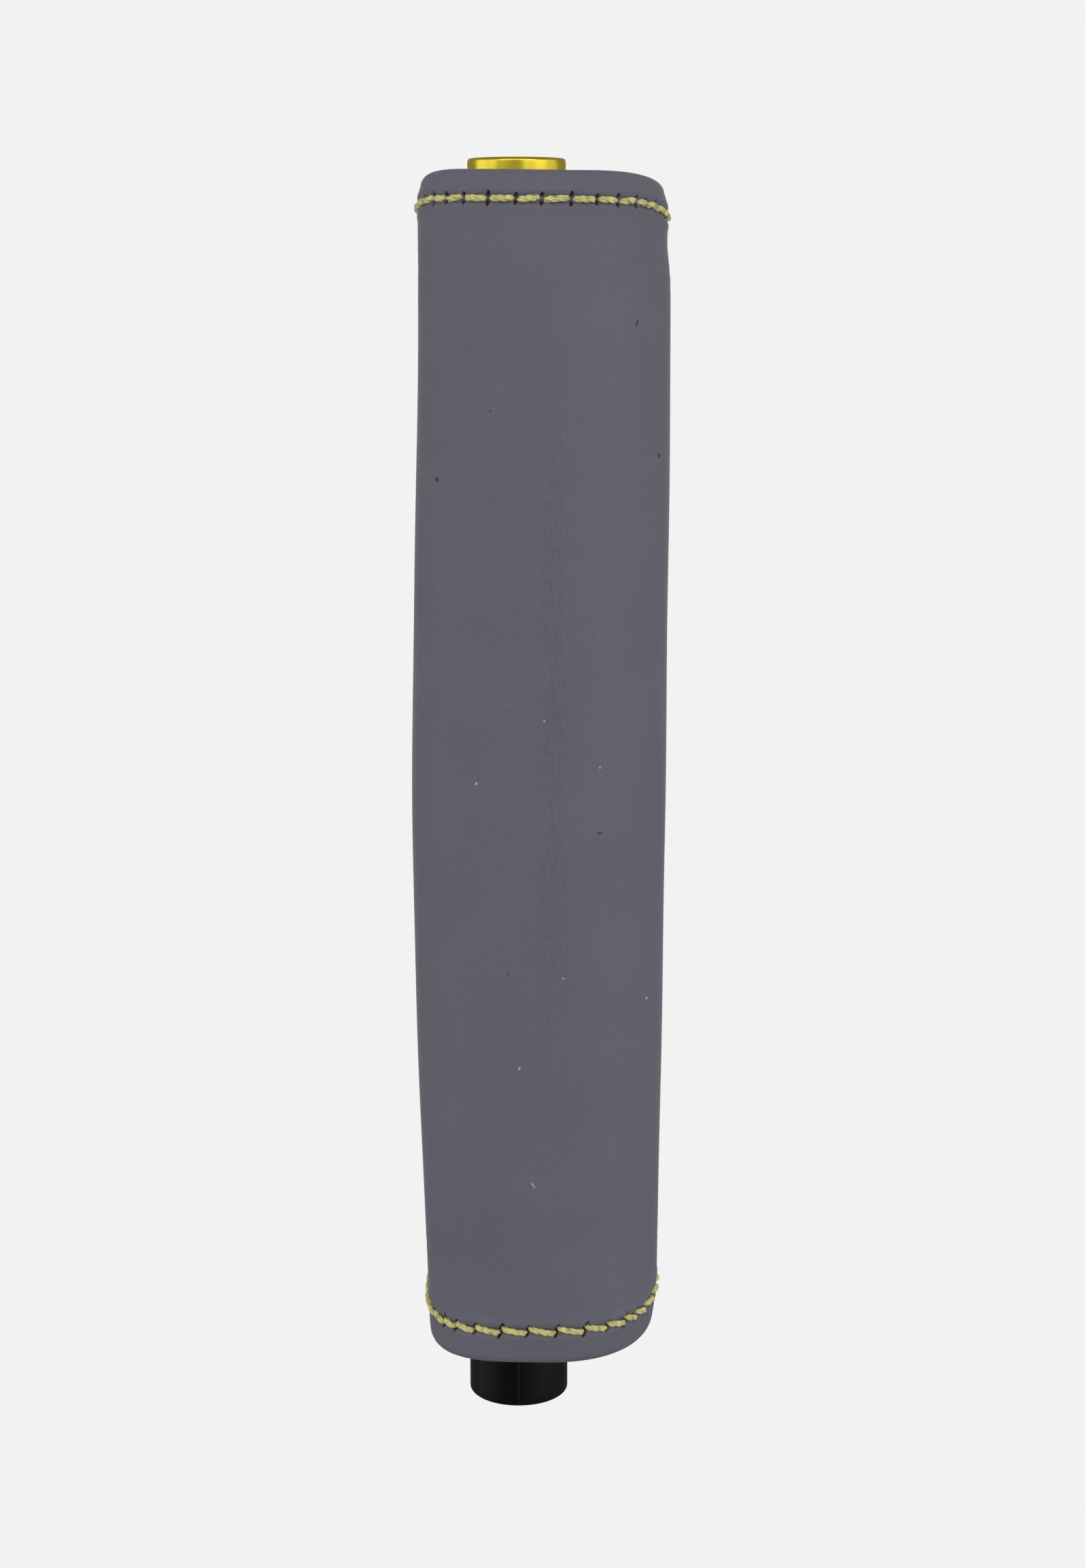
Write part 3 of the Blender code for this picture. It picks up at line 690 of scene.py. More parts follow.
def makeEndPlug(name, end, low, high, bore):
    # rows from the bore over the face, down the hem side, past the shoulder and up the core's seat
    values, cover = endPlug, leatherCover
    rim = gripForm["rimTop"] if end > 0 else gripForm["rimBottom"]
    face = rim - end * values["recess"]
    shoulderDepth = cover["hemDepth"] + deepestSag + values["shoulderStep"]
    inner = low[2] if end > 0 else high[2]
    seatEnd = coreHigh[2] + gap if end > 0 else coreLow[2] - gap
    seatRadius = coreHigh[0] + gap
    share = np.arange(values["columns"]) / values["columns"]
    chamfer = values["chamfer"]

    def shell(height, inset):
        x, y, _, _, _ = outline(height, inset, share)
        return np.stack([x, y, np.full(len(share), height)], -1)

    def hemInset(distance):
        curl = rimCurl(end, max(distance - deepestSag, cover["foldRadius"]))
        return curl + 2 * cover["foldRadius"] + gap

    faceInset = hemInset(values["recess"])
    outer = shell(face, faceInset)
    angle = np.arctan2(outer[:, 1], outer[:, 0])

    def circle(radius, height):
        level = np.full(len(share), height)
        return np.stack([radius * np.cos(angle), radius * np.sin(angle), level], -1)

    rows = [circle(bore, seatEnd), circle(bore, face - end * chamfer)]
    for turn in (0.25, 0.5, 0.75, 1.0):
        bend = math.pi / 2 * turn
        height = face - end * chamfer * (1 - math.sin(bend))
        rows.append(circle(bore + chamfer * (1 - math.cos(bend)), height))
    for blend in (0.12, 0.3, 0.5, 0.7, 0.88):
        row = (1 - blend) * circle(bore + chamfer, face) + blend * shell(face, faceInset + chamfer)
        row[:, 2] = face - end * values["faceDish"] * math.sin(math.pi * blend) ** 2
        rows.append(row)
    for turn in (0, 0.25, 0.5, 0.75, 1.0):
        bend = math.pi / 2 * turn
        height = face - end * chamfer * (1 - math.cos(bend))
        rows.append(shell(height, faceInset + chamfer * (1 - math.sin(bend))))
    edge = values["edge"]
    for distance in (3.2, 5.2, 7.5, shoulderDepth - edge, shoulderDepth):
        rows.append(shell(rim - end * distance, hemInset(distance)))
    shoulder = rim - end * shoulderDepth
    body, half = values["bodyInset"], (shoulder + inner) / 2
    rows += [shell(shoulder, body + edge), shell(shoulder - end * edge, body)]
    rows += [shell(half, body), shell(inner + end * edge, body)]
    rows += [shell(inner, body + edge), circle(seatRadius + edge, inner)]
    rows += [circle(seatRadius, inner + end * edge), circle(seatRadius, seatEnd)]
    points = np.stack(rows)
    faces = gridFaces(len(rows), len(share), True)
    if end > 0:
        faces = faces[:, ::-1]
    return sharpen(setMesh(name, points, faces))


pushRod = {
    "radius": 6.9,
    "endRadius": 0.42,
    "partingHeight": 0.10,
    "partingWidth": 0.13,
    "neckRadius": 3.6,
    "shoulder": 144.7,
    "neckTop": rodHigh[2],
    "grooveLow": 117.2,
    "grooveHigh": 118.8,
    "grooveRadius": 5.6,
    "boreRadius": 1.8,
    "boreBottom": 151.7,
    # the mould's gate ring on the tip: radius and height
    "gateRing": [(2.2, 0.0), (2.45, 0.12), (2.7, 0.0)],
}


def makePushRod():
    # radius against height: a tip with a ring, a quarter round, the straight wall, the groove,
    # the shoulder and the bored neck, carried round the axis
    values = pushRod
    radius = values["radius"]
    edge = values["endRadius"]
    wall = [(0.3, 0.0), *values["gateRing"], (radius - edge, 0.0)]
    wall += [(radius - edge * (1 - math.sin(bend)), edge * (1 - math.cos(bend)))
             for bend in np.linspace(0, math.pi / 2, 7)[1:]]
    wall += [(radius, height) for height in np.linspace(2, 116, 40)]
    rest = [(radius, values["grooveLow"]), (values["grooveRadius"], values["grooveLow"]),
            (values["grooveRadius"], values["grooveHigh"]), (radius, values["grooveHigh"]),
            (radius, values["shoulder"]), (values["neckRadius"], values["shoulder"]),
            (values["neckRadius"], values["neckTop"]), (values["boreRadius"], values["neckTop"]),
            (values["boreRadius"], values["boreBottom"]), (0.3, values["boreBottom"])]
    profile = np.vstack([wall, roundCorners([wall[-1]] + rest, 0.25)[1:]])

    def parting(r, z, t):
        # the mould's parting line: a narrow rounded rib at the front and at the back
        offset = np.minimum(np.abs(t - 1.5 * math.pi), np.abs(t - 0.5 * math.pi)) * r
        onWall = (r > radius - 0.1) & (z > 0.3)
        return values["partingHeight"] * np.exp(-(offset / values["partingWidth"]) ** 2) * onWall

    return lathe("pushRod", profile, 384, False, parting)


pushButton = {
    "radius": 6.5,
    "edge": 0.45,
    "top": buttonHigh[2],
    "bottom": buttonLow[2],
    "dish": 0.06,
    "skirtRadius": 5.6,
    "headBottom": 165.0,
    "bossRadius": 3.6,
    "bossBottom": 160.2,
    "boreRadius": 1.8,
    "boreTop": 167.0,
}


def makePushButton():
    # radius against height: the dished face, the rounded edge, the head, the skirt and the boss
    # with its bore, carried round the axis
    values = pushButton
    radius, edge, top, bottom = values["radius"], values["edge"], values["top"], values["bottom"]
    bore, boss, skirt = values["boreRadius"], values["bossRadius"], values["skirtRadius"]
    lower = [(0.3, values["boreTop"]), (bore, values["boreTop"]), (bore, values["bossBottom"]),
             (boss, values["bossBottom"]), (boss, values["headBottom"]), (skirt, values["headBottom"]),
             (skirt, bottom), (radius, bottom), (radius, top - 3.0)]
    profile = list(roundCorners(lower, 0.2))
    profile += [(radius, height) for height in np.linspace(top - 2.8, top - edge, 8)]
    profile += [(radius - edge * (1 - math.cos(bend)), top - edge * (1 - math.sin(bend)))
                for bend in np.linspace(0, math.pi / 2, 10)[1:]]
    # the top face is very slightly dished, by a cosine from the middle to the edge
    for across in np.linspace(radius - edge - 0.35, 0.3, 14):
        dip = values["dish"] * (1 + math.cos(math.pi * across / (radius - edge))) / 2
        profile.append((across, top - dip))
    return lathe("pushButton", profile, 256)


# small round pieces inside
smallParts = {
    "bushBarrel": 5.6,
    "bushRim": 6.9,
    "bushBore": 3.9,
    "bushFlange": 0.8,
    "springFlat": 0.10,
    "rivetShank": 0.8,
    "rivetDome": 0.55,
    "rivetStart": 1.2,
    "rivetRim": 0.25,
    "studPitch": 0.5,
    "studDepth": 0.16,
    "springTurns": 6.5,
    "springWire": 0.45,
    "springRadius": 4.75,
}


# the two flat rings: radius of the hole, rounding of the edges, columns round
flatRings = {
    "springSeat": (3.9, 0.15, 128),
    "buttonWasher": (1.8, 0.12, 96),
}


def makeWasher(name, node):
    # a rectangle with rounded corners carried round the axis
    low, high = boxOf(node)
    outer = (high[0] - low[0]) / 2
    inner, rounding, columns = flatRings[name]
    profile = [(outer, low[2]), (outer, high[2]), (inner, high[2]), (inner, low[2])]
    return lathe(name, roundCorners(profile, rounding, 4, True), columns, True)


def makeGuideBush():
    low, high = boxOf("guide_bush")
    # an L section, barrel below and flange above, carried round the axis
    barrel, rim, bore = smallParts["bushBarrel"], smallParts["bushRim"], smallParts["bushBore"]
    flange = high[2] - smallParts["bushFlange"]
    profile = [(barrel, low[2]), (barrel, flange), (rim, flange)]
    profile += [(rim, high[2]), (bore, high[2]), (bore, low[2])]
    return lathe("guideBush", roundCorners(profile, 0.25, 4, True), 128, True)


def makeStud():
    # a straight shank with bevelled ends, its wall cut by the thread's triangle wave
    low, high = boxOf("button_stud")
    radius = high[0]
    pitch, cut = smallParts["studPitch"], smallParts["studDepth"]
    heights = np.arange(low[2] + 0.3 + pitch / 6, high[2] - 0.3 - pitch / 12, pitch / 6)
    profile = [(0.2, low[2]), (radius - 0.35, low[2]), (radius - 0.02, low[2] + 0.3)]
    profile += [(radius - 0.02, height) for height in heights]
    profile += [(radius - 0.02, high[2] - 0.3), (radius - 0.35, high[2]), (0.2, high[2])]

    def thread(r, z, t):
        # a triangle wave of the height less one pitch a turn
        phase = (z / pitch - t / (2 * math.pi)) % 1.0
        inside = (z > low[2] + 0.35) & (z < high[2] - 0.35) & (r > radius - 0.1)
        return -cut * np.abs(2 * phase - 1) * inside

    return lathe("buttonStud", profile, 48, False, thread)


def makeRattleRing():
    # a circle carried round the axis: r = c + a cos u, z = m + a sin u
    low, high = boxOf("rattle_ring")
    thick = (high[2] - low[2]) / 2
    middle = (high[2] + low[2]) / 2
    around = np.linspace(0, 2 * math.pi, 25)[:-1]
    centre = high[0] - thick
    profile = [(centre + thick * math.cos(turn), middle + thick * math.sin(turn)) for turn in around]
    return lathe("rattleRing", profile, 128, True)


def makeRivet():
    # a straight shank and a head domed as an ellipse, made upright and then turned on its side
    low, high = boxOf("clip_rivet")
    middle = (low[2] + high[2]) / 2
    head, shank = (high[2] - low[2]) / 2, smallParts["rivetShank"]
    start = coreHigh[0] + smallParts["rivetStart"]
    rim, dome = start + smallParts["rivetRim"], smallParts["rivetDome"]
    profile = [(0.1, low[0]), (shank, low[0]), (shank, start), (head, start), (head, rim)]
    profile = list(roundCorners(profile, 0.12))
    profile += [(head * math.cos(turn), rim + dome * math.sin(turn))
                for turn in np.linspace(0.1, 1.5, 8)]
    item = lathe("clipRivet", profile, 64)
    turnOnSide(item, middle)
    return item


def turnOnSide(item, height):
    # what was made along Z now points along X, at that height: x = z, y = y, z = height - x
    count = len(item.data.vertices)
    places = np.zeros(count * 3, np.float32)
    item.data.vertices.foreach_get("co", places)
    places = places.reshape(-1, 3)
    moved = np.stack([places[:, 2], places[:, 1], height * mm - places[:, 0]], -1)
    item.data.vertices.foreach_set("co", moved.astype(np.float32).ravel())
    item.data.update()


def makeReturnSpring():
    # a coil whose first and last turn lie flat: p = (R cos t, R sin t, h(t)), h level at both ends
    values = smallParts
    wire, radius = values["springWire"], values["springRadius"]
    bottom, top = springLow[2] + wire, springHigh[2] - wire
    count, sides = 420, 12
    turn = np.linspace(0, 2 * math.pi * values["springTurns"], count)
    part = np.linspace(0, 1, count)
    flat = values["springFlat"]
    easing = np.clip((part - flat) / (1 - 2 * flat), 0, 1)
    height = bottom + (top - bottom - 2 * wire) * easing + wire * np.clip(part / flat, 0, 1)
    height = height + wire * np.clip((part - (1 - flat)) / flat, 0, 1)
    line = np.stack([radius * np.cos(turn), radius * np.sin(turn), height], -1)
    way = np.gradient(line, axis=0)
    way /= np.linalg.norm(way, axis=-1, keepdims=True)
    out = np.stack([np.cos(turn), np.sin(turn), np.zeros(count)], -1)
    side = np.cross(way, out)
    angle = 2 * math.pi * np.arange(sides) / sides
    skin = line[:, None] + wire * (out[:, None] * np.cos(angle)[None, :, None]
                                   + side[:, None] * np.sin(angle)[None, :, None])
    points = np.vstack([skin.reshape(-1, 3), line[:1], line[-1:]])
    faces = np.vstack([gridFaces(count, sides), endFans(count, sides)])
    return setMesh("returnSpring", points, faces)


def newGroup(name, inputs, outputs):
    group = bpy.data.node_groups.new(name, "ShaderNodeTree")
    for title, kind, value in inputs:
        socket = group.interface.new_socket(name=title, in_out="INPUT", socket_type=kind)
        if value is not None:
            socket.default_value = value
    for title, kind in outputs:
        group.interface.new_socket(name=title, in_out="OUTPUT", socket_type=kind)
    start = group.nodes.new("NodeGroupInput")
    end = group.nodes.new("NodeGroupOutput")
    return group, start, end


def mathNode(tree, operation, first, second=None):
    node = tree.nodes.new("ShaderNodeMath")
    node.operation = operation
    for index, value in enumerate((first, second)):
        if value is None:
            continue
        if isinstance(value, (int, float)):
            node.inputs[index].default_value = value
        else:
            tree.links.new(value, node.inputs[index])
    return node.outputs[0]


def mixColor(tree, factor, first, second):
    node = tree.nodes.new("ShaderNodeMix")
    node.data_type = "RGBA"
    for socket, value in ((node.inputs[0], factor), (node.inputs[6], first), (node.inputs[7], second)):
        if isinstance(value, (int, float)):
            socket.default_value = value
        elif isinstance(value, (tuple, list)):
            socket.default_value = (*value, 1.0) if len(value) == 3 else value
        else:
            tree.links.new(value, socket)
    return node.outputs[2]


def spread01(tree, value, low, high):
    node = tree.nodes.new("ShaderNodeMapRange")
    node.interpolation_type = "SMOOTHSTEP"
    tree.links.new(value, node.inputs["Value"])
    node.inputs["From Min"].default_value = low
    node.inputs["From Max"].default_value = high
    return node.outputs["Result"]


def noiseNode(tree, vector, scale, detail=2.0, roughness=0.5):
    node = tree.nodes.new("ShaderNodeTexNoise")
    if isinstance(scale, (int, float)):
        node.inputs["Scale"].default_value = scale
    else:
        tree.links.new(scale, node.inputs["Scale"])
    node.inputs["Detail"].default_value = detail
    node.inputs["Roughness"].default_value = roughness
    tree.links.new(vector, node.inputs["Vector"])
    return node.outputs["Fac"]


def stretched(tree, vector, scale):
    node = tree.nodes.new("ShaderNodeMapping")
    node.inputs["Scale"].default_value = scale
    tree.links.new(vector, node.inputs["Vector"])
    return node.outputs["Vector"]


def makeHideGrain():
    # leather grain: rounded cells from a Voronoi edge distance, broken up by noise
    group, start, end = newGroup("hideGrain", [
        ("Vector", "NodeSocketVector", None), ("Scale", "NodeSocketFloat", 2600.0)],
        [("Height", "NodeSocketFloat"), ("Pits", "NodeSocketFloat")])
    wobble = group.nodes.new("ShaderNodeTexNoise")
    wobble.inputs["Scale"].default_value = 900.0
    wobble.inputs["Detail"].default_value = 1.0
    group.links.new(start.outputs["Vector"], wobble.inputs["Vector"])
    push = group.nodes.new("ShaderNodeVectorMath")
    push.operation = "MULTIPLY_ADD"
    push.inputs[1].default_value = (0.0004, 0.0004, 0.0004)
    group.links.new(wobble.outputs["Color"], push.inputs[0])
    group.links.new(start.outputs["Vector"], push.inputs[2])
    cells = group.nodes.new("ShaderNodeTexVoronoi")
    cells.feature = "DISTANCE_TO_EDGE"
    group.links.new(push.outputs[0], cells.inputs["Vector"])
    group.links.new(start.outputs["Scale"], cells.inputs["Scale"])
    domes = spread01(group, cells.outputs["Distance"], 0.0, 0.28)
    fine = noiseNode(group, start.outputs["Vector"], 7000.0, 2.0, 0.6)
    height = mathNode(group, "ADD", mathNode(group, "MULTIPLY", domes, 0.7),
                      mathNode(group, "MULTIPLY", fine, 0.5))
    group.links.new(height, end.inputs["Height"])
    pits = mathNode(group, "SUBTRACT", 1.0, domes)
    group.links.new(pits, end.inputs["Pits"])
    return group


def makeSpecks():
    # sparse specks: Voronoi cells whose random value passes a limit, round their centres
    group, start, end = newGroup("specks", [
        ("Vector", "NodeSocketVector", None), ("Scale", "NodeSocketFloat", 180.0),
        ("Size", "NodeSocketFloat", 0.12), ("Rarity", "NodeSocketFloat", 0.93)],
        [("Mask", "NodeSocketFloat")])
    cells = group.nodes.new("ShaderNodeTexVoronoi")
    group.links.new(start.outputs["Vector"], cells.inputs["Vector"])
    group.links.new(start.outputs["Scale"], cells.inputs["Scale"])
    split = group.nodes.new("ShaderNodeSeparateColor")
    group.links.new(cells.outputs["Color"], split.inputs[0])
    chosen = mathNode(group, "GREATER_THAN", split.outputs[0], start.outputs["Rarity"])
    size = mathNode(group, "MULTIPLY", start.outputs["Size"], mathNode(
        group, "ADD", mathNode(group, "MULTIPLY", split.outputs[1], 0.8), 0.3))
    inside = mathNode(group, "LESS_THAN", cells.outputs["Distance"], size)
    group.links.new(mathNode(group, "MULTIPLY", chosen, inside), end.inputs["Mask"])
    return group


def makeFleck():
    # one fleck on the front: 1 inside the ellipse (u / long)^2 + (v / wide)^2 = 1,
    # with u leaning from upright
    group, start, end = newGroup("fleck", [
        ("Vector", "NodeSocketVector", None), ("X", "NodeSocketFloat", 0.0),
        ("Z", "NodeSocketFloat", 0.1), ("Long", "NodeSocketFloat", 0.0003),
        ("Wide", "NodeSocketFloat", 0.0002), ("Lean", "NodeSocketFloat", 0.0)],
        [("Mask", "NodeSocketFloat")])
    split = group.nodes.new("ShaderNodeSeparateXYZ")
    group.links.new(start.outputs["Vector"], split.inputs[0])
    right = mathNode(group, "SUBTRACT", split.outputs[0], start.outputs["X"])
    up = mathNode(group, "SUBTRACT", split.outputs[2], start.outputs["Z"])
    cosine = mathNode(group, "COSINE", start.outputs["Lean"])
    sine = mathNode(group, "SINE", start.outputs["Lean"])
    along = mathNode(group, "ADD", mathNode(group, "MULTIPLY", right, sine),
                     mathNode(group, "MULTIPLY", up, cosine))
    across = mathNode(group, "SUBTRACT", mathNode(group, "MULTIPLY", right, cosine),
                      mathNode(group, "MULTIPLY", up, sine))
    along = mathNode(group, "DIVIDE", along, start.outputs["Long"])
    across = mathNode(group, "DIVIDE", across, start.outputs["Wide"])
    reach = mathNode(group, "ADD", mathNode(group, "MULTIPLY", along, along),
                     mathNode(group, "MULTIPLY", across, across))
    inside = mathNode(group, "SUBTRACT", 1.0, spread01(group, reach, 0.6, 1.3))
    front = mathNode(group, "LESS_THAN", split.outputs[1], 0.0)
    group.links.new(mathNode(group, "MULTIPLY", inside, front), end.inputs["Mask"])
    return group


def makeBlotches():
    # slow change between two colours: two octaves of noise through a smooth step
    group, start, end = newGroup("blotches", [
        ("Vector", "NodeSocketVector", None), ("Scale", "NodeSocketFloat", 60.0),
        ("First", "NodeSocketColor", (0.1, 0.1, 0.1, 1)),
        ("Second", "NodeSocketColor", (0.2, 0.2, 0.2, 1))],
        [("Color", "NodeSocketColor"), ("Mask", "NodeSocketFloat")])
    noise = noiseNode(group, start.outputs["Vector"], start.outputs["Scale"], 4.0, 0.6)
    mask = spread01(group, noise, 0.3, 0.7)
    color = mixColor(group, mask, start.outputs["First"], start.outputs["Second"])
    group.links.new(color, end.inputs["Color"])
    group.links.new(mask, end.inputs["Mask"])
    return group


def makeMouldTexture():
    # the spark-eroded skin of moulded plastic: fine noise cut to low bumps
    group, start, end = newGroup("mouldTexture", [
        ("Vector", "NodeSocketVector", None), ("Scale", "NodeSocketFloat", 5200.0)],
        [("Height", "NodeSocketFloat"), ("Mask", "NodeSocketFloat")])
    noise = noiseNode(group, start.outputs["Vector"], start.outputs["Scale"], 2.0, 0.55)
    height = spread01(group, noise, 0.36, 0.66)
    slow = noiseNode(group, start.outputs["Vector"], 300.0, 3.0, 0.5)
    group.links.new(height, end.inputs["Height"])
    group.links.new(spread01(group, slow, 0.35, 0.65), end.inputs["Mask"])
    return group


def makeTurnedMarks():
    # the marks of a lathe tool: noise that changes fast across the cut and slowly along it
    group, start, end = newGroup("turnedMarks", [
        ("Vector", "NodeSocketVector", None)],
        [("Height", "NodeSocketFloat"), ("Mask", "NodeSocketFloat")])
    # radius and height together, so the marks are rings on a face and lines on a wall
    split = group.nodes.new("ShaderNodeSeparateXYZ")
    group.links.new(start.outputs["Vector"], split.inputs[0])
    square = mathNode(group, "ADD", mathNode(group, "MULTIPLY", split.outputs[0], split.outputs[0]),
                      mathNode(group, "MULTIPLY", split.outputs[1], split.outputs[1]))
    radius = mathNode(group, "SQRT", square)
    angle = mathNode(group, "ARCTAN2", split.outputs[1], split.outputs[0])
    join = group.nodes.new("ShaderNodeCombineXYZ")
    group.links.new(mathNode(group, "MULTIPLY", radius, 9000.0), join.inputs[0])
    group.links.new(mathNode(group, "MULTIPLY", split.outputs[2], 9000.0), join.inputs[1])
    group.links.new(mathNode(group, "MULTIPLY", angle, 1.5), join.inputs[2])
    noise = group.nodes.new("ShaderNodeTexNoise")
    noise.inputs["Scale"].default_value = 1.0
    noise.inputs["Detail"].default_value = 3.0
    group.links.new(join.outputs[0], noise.inputs["Vector"])
    group.links.new(noise.outputs["Fac"], end.inputs["Height"])
    slow = noiseNode(group, start.outputs["Vector"], 700.0, 3.0, 0.6)
    group.links.new(spread01(group, slow, 0.3, 0.7), end.inputs["Mask"])
    return group


def newMaterial(name):
    material = bpy.data.materials.new(name)
    material.use_nodes = True
    tree = material.node_tree
    shader = tree.nodes["Principled BSDF"]
    coordinates = tree.nodes.new("ShaderNodeTexCoord")
    return material, tree, shader, coordinates.outputs["Object"], coordinates.outputs["UV"]


def useGroup(tree, group, vector, **values):
    node = tree.nodes.new("ShaderNodeGroup")
    node.node_tree = group
    tree.links.new(vector, node.inputs["Vector"])
    for key, value in values.items():
        node.inputs[key].default_value = (*value, 1.0) if isinstance(value, tuple) else value
    return node.outputs


def unevenRoughness(tree, shader, value, swing, least):
    # roughness = least + swing * value
    swung = mathNode(tree, "MULTIPLY", value, swing)
    tree.links.new(mathNode(tree, "ADD", swung, least), shader.inputs["Roughness"])


def bump(tree, shader, height, strength, distance, before=None):
    node = tree.nodes.new("ShaderNodeBump")
    node.inputs["Strength"].default_value = strength
    node.inputs["Distance"].default_value = distance
    tree.links.new(height, node.inputs["Height"])
    if before is not None:
        tree.links.new(before, node.inputs["Normal"])
    tree.links.new(node.outputs["Normal"], shader.inputs["Normal"])
    return node.outputs["Normal"]


leatherLook = {
    "color": (0.165, 0.163, 0.206),
    "patch": (0.153, 0.151, 0.191),
    # the pit colour darkens the grain's pits and pores, and is also the painted shade in the creases
    "pitAndCreaseShade": (0.114, 0.113, 0.144),
    # painted shade: the near-black colour painted into the needle-hole slits
    "hole": (0.010, 0.009, 0.012),
    "roughness": 0.62,
    "specular": 0.35,
    "sheen": 0.12,
    "sheenRoughness": 0.45,
    "patchScale": 70.0,
    "grainScale": 3300.0,
    "grainShade": 0.30,
    "grainDepth": 0.00005,
    "poreScale": 4200.0,
    "poreShade": 0.34,
    "paleDust": {"Scale": 170.0, "Size": 0.026, "Rarity": 0.90},
    "dullDust": {"Scale": 210.0, "Size": 0.030, "Rarity": 0.90},
    "paleSpeck": (0.42, 0.42, 0.40),
    "dullSpeck": (0.03, 0.03, 0.035),
    "paleFleck": (0.55, 0.55, 0.52),
    "darkFleck": (0.012, 0.012, 0.014),
    "creaseX": 0.0046,
    "creaseHeight": 0.098,
    "creaseWidth": 0.0032,
    "creaseReach": 0.055,
    # how strongly the crease ditches are darkened: painted shade
    "creaseShade": 0.17,
    "creaseDepth": 0.00011,
    "creaseStretch": (1900.0, 600.0, 520.0),
    "stretchDepth": 0.00012,
    "stretchScale": (260.0, 260.0, 26.0),
}
# dirt on the leather: x, z, half length and half width in metres, degrees from upright, colour
leatherFlecks = [
    (0.0153, 0.1492, 0.00050, 0.00012, 20, "darkFleck"),
    (-0.0101, 0.1296, 0.00028, 0.00025, 0, "darkFleck"),
    (0.0184, 0.1323, 0.00026, 0.00018, 0, "darkFleck"),
    (-0.0032, 0.1384, 0.00014, 0.00012, 0, "darkFleck"),
    (0.0108, 0.0839, 0.00042, 0.00012, 95, "darkFleck"),
    (-0.0012, 0.0652, 0.00022, 0.00012, 15, "darkFleck"),
    (0.0036, 0.0989, 0.00016, 0.00014, 0, "paleFleck"),
    (-0.0052, 0.0906, 0.00020, 0.00017, 0, "paleFleck"),
    (0.0108, 0.0926, 0.00015, 0.00012, 0, "paleFleck"),
    (0.0173, 0.0602, 0.00019, 0.00016, 0, "paleFleck"),
    (0.0061, 0.0646, 0.00015, 0.00014, 0, "paleFleck"),
    (0.0003, 0.0523, 0.00026, 0.00015, 20, "paleFleck"),
    (0.0021, 0.0360, 0.00055, 0.00010, -35, "paleFleck"),
]


